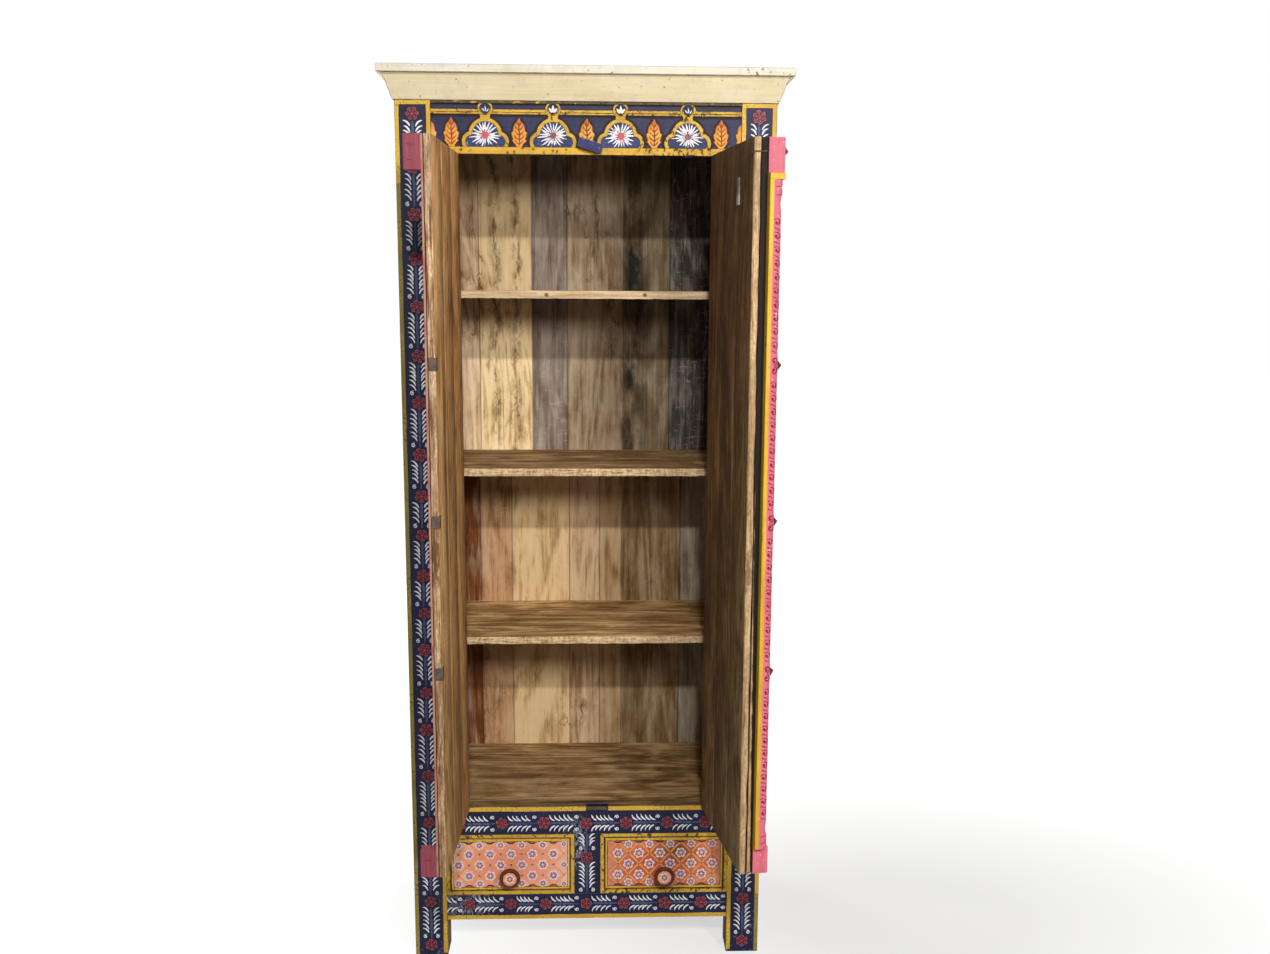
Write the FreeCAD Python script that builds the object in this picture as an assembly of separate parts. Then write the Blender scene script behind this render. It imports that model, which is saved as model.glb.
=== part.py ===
import FreeCAD
import Part
import os

V = FreeCAD.Vector

# Driving sizes in millimetres. The face frame's front is the plane y = 0 until the last step.
frame_w = 770.0
stile_w = 72.0
post_d = 60.0
rear_post_w = 45.0
rear_post_d = 40.0
carcass_d = 400.0

leg_h = 86.0
bottom_rail_h = 59.0
drawer_open_h = 142.0
mid_rail_h = 65.0
door_open_h = 1397.0
frieze_h = 104.0
cornice_h = 49.0
slab_t = 15.0

rail_t = 30.0
side_t = 16.0
side_inset = 14.0
back_t = 14.0
rear_rail_t = 20.0
rear_rail_h = 60.0
shelf_t = 17.0
compartment_h = (353.0, 359.0, 363.0)
shelf_set_back = 2.0
cleat = 18.0
slab_overhang = 30.0
cornice_foot = 3.0
cornice_low = 9.0
cornice_mid = 14.5
cornice_lip = 19.5
cornice_flare = 28.0
post_ease = 1.5
plank_ease = 1.5
notch_x = -3.0
notch_w = 48.0
notch_d = 8.0
notch_reach = 14.0

arch_count = 4
arch_rim = 7.4
centre_lobe_r = 34.0
side_lobe_r = 20.0
side_lobe_rise = 10.0
arch_leaf_gap = 2.5
frieze_leaf_w = 36.0
frieze_leaf_h = 62.0
frieze_low_band_h = 14.0
frieze_line_h = 5.5
frieze_row_h = 11.5
frieze_band_h = 9.5
roundel_r = 15.5
roundel_rim = 4.0
neck_w = 20.0
neck_h = 1.0
roundel_gap = 1.0
relief = 5.0
field_step = 2.0

upper_plank_w = (88.0, 122.0, 82.0, 133.0, 109.0, 92.0, 54.0)
lower_plank_w = (80.0, 75.0, 139.0, 73.0, 54.0, 143.0, 116.0)

post_between_w = 58.0
bead_w = 8.0
bead_d = 12.0
drawer_gap = 1.5
drawer_front_t = 18.0
drawer_recess = 2.0
drawer_board = 10.0
drawer_inset = 4.0
drawer_foot = 2.0
drawer_head = 15.0
drawer_floor_rise = 6.0
drawer_floor_t = 6.0
drawer_back_gap = 46.0
runner_h = 20.0
guide_h = 40.0
guide_gap = 2.5
slide_gap = 0.3
knob_r = 23.0
knob_reach = 26.0
knob_neck_r = 9.5
knob_rim_h = 8.0
knob_rise = 48.0

hinge_gap = 3.0
centre_gap = 3.0
door_foot_gap = 4.0
door_head_gap = 1.5
left_plank_t = 15.0
right_plank_t = 17.0
left_panel_t = 4.0
right_panel_t = 10.5
right_panel_set_back = 6.0
proud_t = 29.5
closing_gap = 1.0
hinge_stile_w = 40.0
end_block_w = 24.0
top_block_h = 62.0
bottom_block_h = 54.0
plank_count = 3
first_ledge_rise = 354.0
ledge_pitch = 290.5
ledge_count = 3
ledge_h = 46.0
panel_stile_w = 34.0
bevel = 4.5
left_open_deg = 92.4
right_open_deg = 98.7

astragal_w = 40.0
astragal_overhang = 10.0
astragal_base_t = 10.0
column_r = 14.0
ring_r = 16.6
groove_r = 13.0
ring_h = 9.0
ring_pitch = 15.0
groove_slope = 3.0
foot_ring_count = 3
head_ring_count = 4
block_r = 16.5
stud_w = 16.0
stud_h = 9.0
top_stud_drop = 24.0
iron_plate_inset = 96.0
iron_plate_w = 14.0
iron_plate_h = 50.0
iron_plate_t = 2.5
clip_h = 24.0
clip_t = 1.2
clip_reach = 15.0
clip_set_back = 2.0

pin_forward = 5.0
pin_r = 2.0
pin_clear = 0.05
knuckle_r = 4.5
hinge_h = 60.0
hinge_leaf_t = 1.4
hinge_inset = 195.0
hinge_sink = 0.5
hinge_back_gap = 6.0

button_l = 50.0
button_w = 19.0
button_t = 14.0
button_x = 7.0
button_rise = 17.0
button_tilt_deg = 17.0
button_clear = 1.5
button_ease = 3.0
screw_r = 2.5
screw_head_r = 5.0
screw_head_h = 2.0
screw_depth = 8.0

# Levels and edges that follow from the sizes above.
z_bottom_rail = leg_h
z_drawer = z_bottom_rail + bottom_rail_h
z_mid = z_drawer + drawer_open_h
z_door = z_mid + mid_rail_h
z_frieze = z_door + door_open_h
z_cornice = z_frieze + frieze_h
z_slab = z_cornice + cornice_h
half_w = frame_w / 2
opening_w = frame_w - 2 * stile_w
half_open = opening_w / 2
side_in = half_w - side_inset - side_t
rear_in = half_w - rear_post_w
rear_front = carcass_d - rear_post_d
back_y = carcass_d - rear_rail_t - back_t
shelf_y = post_d + shelf_set_back
shelf_tops = [z_door + sum(compartment_h[:i]) + i * shelf_t for i in range(1, len(compartment_h) + 1)]

leaf_w = (opening_w - 2 * hinge_gap - centre_gap) / 2
door_z0 = z_door + door_foot_gap
door_z1 = z_frieze - door_head_gap
panel_z0 = door_z0 + bottom_block_h
panel_z1 = door_z1 - top_block_h
left_layers = (proud_t + closing_gap, proud_t + closing_gap + left_panel_t)
right_layers = (proud_t, proud_t + right_panel_t)
left_door_t = left_layers[1] + left_plank_t
right_door_t = right_layers[1] + right_plank_t
ledge_z = [panel_z0 + first_ledge_rise + i * ledge_pitch for i in range(ledge_count)]
hinge_z = [door_z0 + hinge_inset, door_z1 - hinge_inset]
pin_x = half_open - hinge_gap / 2
pin_y = -pin_forward

parts = {}


def box(x0, x1, y0, y1, z0, z1):
    return Part.makeBox(x1 - x0, y1 - y0, z1 - z0, V(x0, y0, z0))


def prism(points, along):
    return Part.Face(Part.makePolygon(points + [points[0]])).extrude(along)


def mirrored(shape):
    return shape.mirror(V(0, 0, 0), V(1, 0, 0))


def both_sides(shape):
    return [mirrored(shape), shape]


def group(solids):
    return Part.makeCompound(solids)


def disc(x, y, z, r, reach):
    return Part.makeCylinder(r, reach, V(x, y, z), V(0, 1, 0))


def eased_post(x0, x1, y0, y1, z0, z1, ease):
    corners = [
        V(x0 + ease, y0, z0), V(x1 - ease, y0, z0), V(x1, y0 + ease, z0), V(x1, y1, z0),
        V(x0, y1, z0), V(x0, y0 + ease, z0),
    ]
    return prism(corners, V(0, 0, z1 - z0))


# Carcass posts, sides and back.
def carcass():
    stile = eased_post(half_open, half_w, 0, post_d, 0, z_slab, post_ease)
    rear = box(rear_in, half_w, rear_front, carcass_d, 0, z_slab)
    parts["stile_left"], parts["stile_right"] = both_sides(stile)
    parts["rear_post_left"], parts["rear_post_right"] = both_sides(rear)

    rail_bands = ((z_bottom_rail, z_drawer), (z_mid, z_door), (z_frieze, z_slab))
    side_rails = group([box(side_in, half_w, post_d, rear_front, z0, z1) for z0, z1 in rail_bands])
    parts["side_rails_left"], parts["side_rails_right"] = both_sides(side_rails)

    boards = []
    side_span = rear_front - post_d
    for z0, z1, count in ((z_drawer, z_mid, 1), (z_door, z_frieze, 3)):
        step = side_span / count
        for i in range(count):
            y0 = post_d + i * step
            boards.append(box(side_in, side_in + side_t, y0, y0 + step, z0, z1))
    parts["side_boards_left"], parts["side_boards_right"] = both_sides(group(boards))

    tier = shelf_tops[1] - shelf_t / 2
    rear_rails = []
    for z0 in (z_bottom_rail, tier - rear_rail_h / 2, z_slab - rear_rail_h):
        rear_rails.append(box(-rear_in, rear_in, carcass_d - rear_rail_t, carcass_d, z0, z0 + rear_rail_h))
    parts["rear_rails"] = group(rear_rails)
    tiers = (("upper", upper_plank_w, tier, z_slab), ("lower", lower_plank_w, z_bottom_rail, tier))
    for name, widths, z0, z1 in tiers:
        fill = 2 * rear_in / sum(widths)
        xs = [sum(widths[:i]) * fill - rear_in for i in range(len(widths) + 1)]
        y1 = back_y + back_t
        planks = [eased_post(a, b, back_y, y1, z0, z1, plank_ease) for a, b in zip(xs, xs[1:])]
        parts["back_planks_" + name] = group(planks)


# Shelves, bottom board and the cleats under them.
def shelves():
    rear_posts = both_sides(box(rear_in, half_w, rear_front, carcass_d, 0, z_slab))
    front_posts = both_sides(box(half_open, half_w, 0, post_d, 0, z_slab))

    def board(top, y0):
        blank = box(-side_in, side_in, y0, back_y, top - shelf_t, top)
        return blank.cut(group(rear_posts + front_posts))

    cleats = []
    for top in [z_door] + shelf_tops:
        z1 = top - shelf_t
        cleats.append(box(side_in - cleat, side_in, shelf_y, rear_front, z1 - cleat, z1))
    for i, top in enumerate(shelf_tops):
        parts[f"shelf_{i + 1}"] = board(top, shelf_y)
    parts["bottom_board"] = board(z_door, rail_t)
    parts["shelf_cleats_left"], parts["shelf_cleats_right"] = both_sides(group(cleats))


# Face-frame rails, drawer linings and runners.
def face_frame():
    notch = box(notch_x, notch_x + notch_w, -1, notch_reach, z_door - notch_d, z_door + 1)
    parts["mid_rail"] = box(-half_open, half_open, 0, rail_t, z_mid, z_door).cut(notch)
    parts["bottom_rail"] = box(-half_open, half_open, 0, rail_t, z_bottom_rail, z_drawer)
    post_half = post_between_w / 2
    parts["drawer_post"] = box(-post_half, post_half, 0, rail_t, z_drawer, z_mid)

    lining = box(post_half, half_open, 0, bead_d, z_drawer, z_mid)
    hole = box(post_half + bead_w, half_open - bead_w, -1, bead_d + 1, z_drawer + bead_w, z_mid - bead_w)
    parts["drawer_bead_left"], parts["drawer_bead_right"] = both_sides(lining.cut(hole))

    top = z_drawer + bead_w + drawer_gap + drawer_foot - slide_gap
    low = top - runner_h
    edge_in = post_half + bead_w + drawer_gap + drawer_inset
    edge_out = half_open - bead_w - drawer_gap - drawer_inset
    side_runner = box(edge_out - drawer_board - drawer_inset, side_in, rail_t, back_y, low, top)
    front_post = box(half_open, half_w, 0, post_d, low, top)
    rear_post = box(rear_in, half_w, rear_front, carcass_d, low, top)
    side_runner = side_runner.cut(group([front_post, rear_post]))
    side_guide = box(edge_out + guide_gap, half_open, rail_t, rear_front, top, top + guide_h)
    centre_half = edge_in + drawer_board + drawer_inset
    centre_runner = box(-centre_half, centre_half, rail_t, back_y, low, top)
    centre_guide = box(guide_gap - edge_in, edge_in - guide_gap, rail_t, back_y, top, top + guide_h)
    runner_set = both_sides(side_runner) + both_sides(side_guide) + [centre_runner, centre_guide]
    parts["drawer_runners"] = group(runner_set)


# Carved frieze: cusped arches with roundels, leaves and bands on a sunk ground.
def cusped(x, z, half, height, shrink, y_front):
    reach = relief - y_front
    side_x = half - side_lobe_r
    centre = disc(x, y_front, z + height - centre_lobe_r, centre_lobe_r - shrink, reach)
    side_z = z + side_lobe_rise
    sides = [disc(x + dx, y_front, side_z, side_lobe_r - shrink, reach) for dx in (-side_x, side_x)]
    middle = box(x - side_x, x + side_x, y_front, relief, z, z + height - centre_lobe_r)
    clip = box(x - half, x + half, y_front, relief, z, z + height)
    return centre.fuse(sides + [middle]).common(clip).removeSplitter()


def pointed_leaf(x, z, w, h):
    r = (h * h + w * w) / (4 * w)
    off = r - w / 2
    sides = [disc(x + sign * off, 0, z + h / 2, r, relief) for sign in (-1, 1)]
    return sides[0].common(sides[1])


def frieze():
    pitch = opening_w / (arch_count + 0.6)
    arch_half = (pitch - frieze_leaf_w) / 2 - arch_leaf_gap
    arch_z = z_frieze + frieze_low_band_h
    line_z0 = z_cornice - frieze_line_h
    band_z1 = line_z0 - frieze_row_h
    band_z0 = band_z1 - frieze_band_h
    roundel_z = z_cornice - roundel_gap - roundel_r
    arch_h = roundel_z - roundel_r - neck_h - arch_z
    arch_x = [(i - (arch_count - 1) / 2) * pitch for i in range(arch_count)]
    leaf_x = [(i - arch_count / 2) * pitch for i in range(arch_count + 1)]

    rims = []
    fields = []
    for x in arch_x:
        outer = cusped(x, arch_z, arch_half, arch_h, 0.0, 0.0)
        hollow = cusped(x, arch_z, arch_half, arch_h, arch_rim, 0.0)
        field = cusped(x, arch_z, arch_half, arch_h, arch_rim, field_step)
        ring = disc(x, 0, roundel_z, roundel_r, relief)
        neck_z = arch_z + arch_h - arch_rim / 2
        neck = box(x - neck_w / 2, x + neck_w / 2, 0, relief, neck_z, roundel_z)
        face_r = roundel_r - roundel_rim
        eye = disc(x, 0, roundel_z, face_r, relief)
        rims.append(outer.fuse([ring, neck]).cut(group([hollow, eye])).removeSplitter())
        fields.append(field)
        fields.append(disc(x, field_step, roundel_z, face_r, relief - field_step))
    parts["frieze_arches"] = group(rims)
    parts["frieze_fields"] = group(fields)

    inside = box(-half_open, half_open, 0, relief, z_frieze, z_cornice)
    leaves = [pointed_leaf(x, arch_z, frieze_leaf_w, frieze_leaf_h) for x in leaf_x]
    end_x = half_open + 0.15 * frieze_leaf_w
    for x in (-end_x, end_x):
        leaves.append(pointed_leaf(x, arch_z, frieze_leaf_w, frieze_leaf_h).common(inside))
    screw_hole = disc(button_x, 0, z_frieze + button_rise, screw_r, relief + screw_depth)
    leaves = [shape.cut(screw_hole) for shape in leaves]
    parts["frieze_leaves"] = group(leaves)

    bands = []
    carved = group(rims + fields + leaves + [screw_hole])
    for z0, z1 in ((z_frieze, arch_z), (band_z0, band_z1), (line_z0, z_cornice)):
        bands += box(-half_open, half_open, 0, relief, z0, z1).cut(carved).Solids
    parts["frieze_bands"] = group(bands)

    parts["frieze_board"] = box(-half_open, half_open, relief, rail_t, z_frieze, z_slab).cut(screw_hole)


# Top slab and the mitred cornice boards.
def cornice():
    parts["top_slab"] = box(
        -half_w - slab_overhang, half_w + slab_overhang, -slab_overhang, carcass_d, z_slab, z_slab + slab_t
    )
    h = cornice_h
    reach = 2 * slab_overhang
    outer = half_w + reach
    z = z_cornice
    curve = [(0, 0), (cornice_foot, 0), (cornice_low, 0.33 * h), (cornice_mid, 0.67 * h)]
    front = curve + [(cornice_lip, 0.95 * h), (cornice_lip, h), (0, h)]
    flared = curve + [(cornice_flare, 0.98 * h), (cornice_flare, h), (0, h)]
    front_bar = prism([V(-outer, -p, z + rise) for p, rise in front], V(2 * outer, 0, 0))
    side_bar = prism([V(half_w + p, -reach, z + rise) for p, rise in flared], V(0, carcass_d + reach, 0))
    inner_corner, outer_corner = V(half_w, 0, z), V(outer, -reach, z)
    mitre = [V(-half_w, 0, z), V(-outer, -reach, z), outer_corner, inner_corner]
    front_zone = prism(mitre, V(0, 0, h))
    side_run = [inner_corner, outer_corner, V(outer, carcass_d, z), V(half_w, carcass_d, z)]
    side_zone = prism(side_run, V(0, 0, h))
    parts["cornice_backing"] = box(-half_open, half_open, 0, relief, z_cornice, z_slab)
    parts["cornice_front"] = front_bar.common(front_zone)
    parts["cornice_left"], parts["cornice_right"] = both_sides(side_bar.common(side_zone))


# Drawers, modelled at the right and mirrored for the left.
def drawers():
    x0 = post_between_w / 2 + bead_w + drawer_gap
    x1 = half_open - bead_w - drawer_gap
    z0 = z_drawer + bead_w + drawer_gap
    z1 = z_mid - bead_w - drawer_gap
    y1 = drawer_recess + drawer_front_t
    front = box(x0, x1, drawer_recess, y1, z0, z1)

    bx0, bx1 = x0 + drawer_inset, x1 - drawer_inset
    bz0, bz1 = z0 + drawer_foot, z1 - drawer_head
    y2 = back_y - drawer_back_gap
    b = drawer_board
    sides = [box(bx0, bx0 + b, y1, y2, bz0, bz1), box(bx1 - b, bx1, y1, y2, bz0, bz1)]
    back = box(bx0 + b, bx1 - b, y2 - b, y2, bz0, bz1)
    floor_z = bz0 + drawer_floor_rise
    floor = box(bx0 + b, bx1 - b, y1, y2 - b, floor_z, floor_z + drawer_floor_t)
    drawer_box = group(sides + [back, floor])

    x = (x0 + x1) / 2
    z = z_drawer + knob_rise
    knob_y = drawer_recess - knob_reach
    stem = disc(x, knob_y + knob_rim_h, z, knob_neck_r, knob_reach - knob_rim_h)
    knob = disc(x, knob_y, z, knob_r, knob_rim_h).fuse(stem).removeSplitter()
    for name, shape in (("front", front), ("box", drawer_box), ("knob", knob)):
        parts["drawer_left_" + name], parts["drawer_right_" + name] = both_sides(shape)


# Door leaves are laid out closed, hinge edge at u = 0, front of the end blocks at v = 0, then turned open.
def leaf_prism(uv, z0, z1):
    return prism([V(u, v, z0) for u, v in uv], V(0, 0, z1 - z0))


def door_planks(front, back, bevelled):
    edges = [i * leaf_w / plank_count for i in range(plank_count + 1)]
    eased = back - plank_ease
    planks = []
    for u0, u1 in zip(edges, edges[1:]):
        hinge_side = [(u0 + plank_ease, back), (u0, eased), (u0, front)]
        lead_side = [(u1, front), (u1, eased), (u1 - plank_ease, back)]
        if bevelled and u1 == edges[-1]:
            lead_side = [(u1, front), (u1 - bevel, back)]
        planks.append(leaf_prism(hinge_side + lead_side, door_z0, door_z1))
    return group(planks)


def panel_frame(front, back, set_back):
    lead = leaf_w - set_back
    frame = box(0, lead, front, back, door_z0, door_z1)
    cuts = []
    lows = [door_z0 + bottom_block_h] + [z + ledge_h / 2 for z in ledge_z]
    highs = [z - ledge_h / 2 for z in ledge_z] + [door_z1 - top_block_h]
    for z0, z1 in zip(lows, highs):
        cuts.append(box(hinge_stile_w, lead - panel_stile_w, front - 1, back + 1, z0, z1))
    hinge_stile = box(0, hinge_stile_w, 0, front, door_z0, door_z1)
    return group([frame.cut(group(cuts)), hinge_stile])


def end_block(front, z0, z1):
    return box(leaf_w - end_block_w, leaf_w, 0, front, z0, z1)


def edge_clips(front, back):
    clips = []
    for z in ledge_z:
        z0, z1 = z - clip_h / 2, z + clip_h / 2
        edge = box(leaf_w - clip_t, leaf_w, front + clip_set_back, back + clip_t, z0, z1)
        inside = box(leaf_w - clip_reach, leaf_w, back, back + clip_t, z0, z1)
        clips.append(edge.fuse(inside).removeSplitter())
    return group(clips)


def turned_rings(count):
    outline = []
    for i in range(count):
        rise = i * ring_pitch
        outline += [(ring_r, rise), (ring_r, rise + ring_h), (groove_r, rise + ring_h + groove_slope)]
    return outline + [(column_r, count * ring_pitch)]


def astragal():
    u0, u1 = leaf_w + astragal_overhang - astragal_w, leaf_w + astragal_overhang
    v0 = proud_t - astragal_base_t
    base = box(u0, u1, v0, proud_t, panel_z0, panel_z1)

    u = (u0 + u1) / 2
    foot = [(r, panel_z0 + rise) for r, rise in turned_rings(foot_ring_count)]
    head = [(r, panel_z1 - rise) for r, rise in turned_rings(head_ring_count)]
    outline = [(0, panel_z0)] + foot + head[::-1] + [(0, panel_z1)]
    half = Part.Face(Part.makePolygon([V(u + a, v0, z) for a, z in outline + [outline[0]]]))
    column = half.revolve(V(u, v0, 0), V(0, 0, 1), -180)
    blocks = [box(u - block_r, u + block_r, v0 - block_r, v0, z - block_r, z + block_r) for z in ledge_z]
    carved = Part.Solid(column).fuse(blocks).removeSplitter()

    studs = []
    for z, v in [(z, v0 - block_r) for z in ledge_z] + [(door_z1 - top_stud_drop, 0.0)]:
        s = stud_w / 2
        corners = [V(u - s, v, z - s), V(u + s, v, z - s), V(u + s, v, z + s), V(u - s, v, z + s)]
        tip = V(u, v - stud_h, z)
        faces = [Part.Face(Part.makePolygon(corners + [corners[0]]))]
        for a, b in zip(corners, corners[1:] + corners[:1]):
            faces.append(Part.Face(Part.makePolygon([a, b, tip, a])))
        studs.append(Part.Solid(Part.Shell(faces)))
    return base, carved, group(studs)


def hinges(door_t):
    u = -hinge_gap / 2
    up = V(0, 0, 1)
    fixed = []
    moving = []
    for z in hinge_z:
        low, high = z - hinge_h / 2, z + hinge_h / 2
        lift = z + slide_gap
        plate = box(-hinge_gap, hinge_leaf_t - hinge_gap, hinge_sink, rail_t, low, high)
        knuckle = Part.makeCylinder(knuckle_r, z - low, V(u, pin_y, low), up)
        tab = box(-hinge_gap, hinge_leaf_t - hinge_gap, pin_y, hinge_sink, low, z)
        pin = Part.makeCylinder(pin_r, hinge_h, V(u, pin_y, low), up)
        fixed.append(plate.fuse([knuckle, tab, pin]).removeSplitter())

        plate = box(-hinge_leaf_t, 0, hinge_sink, door_t - hinge_back_gap, low, high)
        knuckle = Part.makeCylinder(knuckle_r, high - lift, V(u, pin_y, lift), up)
        tab = box(-hinge_leaf_t, 0, pin_y, hinge_sink, lift, high)
        bore = Part.makeCylinder(pin_r + pin_clear, high - lift, V(u, pin_y, lift), up)
        moving.append(plate.fuse([knuckle, tab]).cut(bore).removeSplitter())
    return group(fixed), group(moving)


def doors():
    base, column, studs = astragal()
    left_fixed, left_moving = hinges(left_door_t)
    right_fixed, right_moving = hinges(right_door_t)
    clips = edge_clips(left_layers[1], left_door_t)
    plate_u = leaf_w - iron_plate_inset
    inner_plate = box(
        plate_u - iron_plate_w / 2, plate_u + iron_plate_w / 2, right_door_t, right_door_t + iron_plate_t,
        panel_z1 - iron_plate_h, panel_z1,
    )
    left = {
        "planks": door_planks(left_layers[1], left_door_t, False).cut(clips),
        "frame": panel_frame(left_layers[0], left_layers[1], 0.0),
        "top_block": end_block(left_layers[0], panel_z1, door_z1),
        "bottom_block": end_block(left_layers[0], door_z0, panel_z0),
        "clips": clips,
        "hinges": left_moving,
    }
    right = {
        "planks": door_planks(right_layers[1], right_door_t, True),
        "frame": panel_frame(right_layers[0], right_layers[1], right_panel_set_back),
        "top_block": end_block(right_layers[0], panel_z1, door_z1),
        "bottom_block": end_block(right_layers[0], door_z0, panel_z0),
        "astragal": base,
        "column": column,
        "studs": studs,
        "plate": inner_plate,
        "hinges": right_moving,
    }
    hang = V(hinge_gap - half_open, 0, 0)
    for name, shape in left.items():
        shape = shape.copy()
        shape.translate(hang)
        shape.rotate(V(-pin_x, pin_y, 0), V(0, 0, 1), -left_open_deg)
        parts["left_door_" + name] = shape
    for name, shape in right.items():
        shape = shape.copy()
        shape.translate(hang)
        shape = mirrored(shape)
        shape.rotate(V(pin_x, pin_y, 0), V(0, 0, 1), right_open_deg)
        parts["right_door_" + name] = shape
    left_fixed.translate(hang)
    right_fixed.translate(hang)
    parts["frame_hinges_left"] = left_fixed
    parts["frame_hinges_right"] = mirrored(right_fixed)


# Turn button and the screw it turns on.
def turn_button():
    z = z_frieze + button_rise
    back = -button_clear
    front = back - button_t
    half_l, half_h = button_l / 2, button_w / 2
    flat_l, flat_h = half_l - button_ease, half_h - button_ease
    outline = [
        (-half_l, -flat_h), (-flat_l, -half_h), (flat_l, -half_h), (half_l, -flat_h),
        (half_l, flat_h), (flat_l, half_h), (-flat_l, half_h), (-half_l, flat_h),
    ]
    block = prism([V(button_x + a, front, z + b) for a, b in outline], V(0, button_t, 0))
    block = block.cut(disc(button_x, front, z, screw_r + pin_clear, button_t))
    block.rotate(V(button_x, 0, z), V(0, 1, 0), button_tilt_deg)
    parts["turn_button"] = block
    head_y = front - slide_gap - screw_head_h
    shank = disc(button_x, head_y, z, screw_r, relief + screw_depth - head_y)
    head = disc(button_x, head_y, z, screw_head_r, screw_head_h)
    parts["button_screw"] = shank.fuse(head).removeSplitter()


carcass()
shelves()
face_frame()
frieze()
cornice()
drawers()
doors()
turn_button()

extent = group(list(parts.values())).BoundBox
shift = V(0, -(extent.YMin + extent.YMax) / 2, 0)
os.makedirs("parts", exist_ok=True)
for name, shape in parts.items():
    shape.translate(shift)
    shape.exportStep("parts/" + name + ".step")
print(len(parts), "nodes, front plane at y =", round(shift.y, 4), "height", z_slab + slab_t)
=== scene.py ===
import random
from math import cos, exp, hypot, pi, radians, sin

import bmesh
import bpy
from mathutils import Matrix, Vector, noise


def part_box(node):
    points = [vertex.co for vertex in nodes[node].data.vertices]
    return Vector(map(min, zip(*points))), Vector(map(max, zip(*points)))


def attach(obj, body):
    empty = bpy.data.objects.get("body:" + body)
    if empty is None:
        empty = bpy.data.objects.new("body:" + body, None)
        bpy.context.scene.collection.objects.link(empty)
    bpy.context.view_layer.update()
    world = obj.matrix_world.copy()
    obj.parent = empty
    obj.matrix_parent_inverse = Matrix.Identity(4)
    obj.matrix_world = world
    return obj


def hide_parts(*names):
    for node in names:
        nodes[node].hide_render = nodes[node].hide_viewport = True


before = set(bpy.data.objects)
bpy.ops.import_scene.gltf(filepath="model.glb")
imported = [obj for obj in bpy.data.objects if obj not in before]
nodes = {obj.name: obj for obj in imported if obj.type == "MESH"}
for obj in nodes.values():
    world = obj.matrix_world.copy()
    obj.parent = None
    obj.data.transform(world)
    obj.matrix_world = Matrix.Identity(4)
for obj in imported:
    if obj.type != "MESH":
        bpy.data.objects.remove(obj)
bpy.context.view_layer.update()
scene = bpy.context.scene
rng = random.Random(11)

# Sizes in millimetres, as the solids have them; the scene is in metres.
MM = 0.001
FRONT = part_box("stile_left")[0].y * 1000
HALF_W, HALF_OPEN = 385, 313
REAR_IN, REAR_FRONT = 340, 340
Z_RAIL, Z_DRAWER, Z_MID, Z_DOOR, Z_FRIEZE, Z_CORNICE = 86, 145, 287, 352, 1749, 1853
BORDER = 9
HINGE_GAP, PIN_X, PIN_Y, LEAF_W = 3, 311.5, -5, 308.5
PANEL_FRONT = {"left": 30.5, "right": 29.5}
PLANK_FRONT = {"left": 34.5, "right": 40}
PLANK_BACK = {"left": 49.5, "right": 57}
FRAME_LEAD = {"left": LEAF_W, "right": LEAF_W - 6}
HINGE_STILE, LEAD_STILE = 40, 34
DOOR_Z0, DOOR_Z1, PANEL_Z0, PANEL_Z1 = 356, 1747.5, 410, 1685.5
LEDGES = (764, 1054.5, 1345)
LEDGE_HALF = 23
COLUMN_U, COLUMN_FACE, COLLAR_H = LEAF_W - 10, 19.5, 12
WIRE_Z, SOOT_Z, KNOT_Z, WEATHERED_Z = 1722, 1500, 985, 1690
TURN = {"left": radians(-92.4), "right": radians(98.7)}
SIDE = {"left": -1, "right": 1}


def rgb(code):
    """Linear colour of six hex digits."""
    parts = (int(code[i:i + 2], 16) for i in (0, 2, 4))
    return tuple(c / 3294.6 if c <= 10 else ((c / 255 + 0.055) / 1.055) ** 2.4 for c in parts) + (1,)


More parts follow.
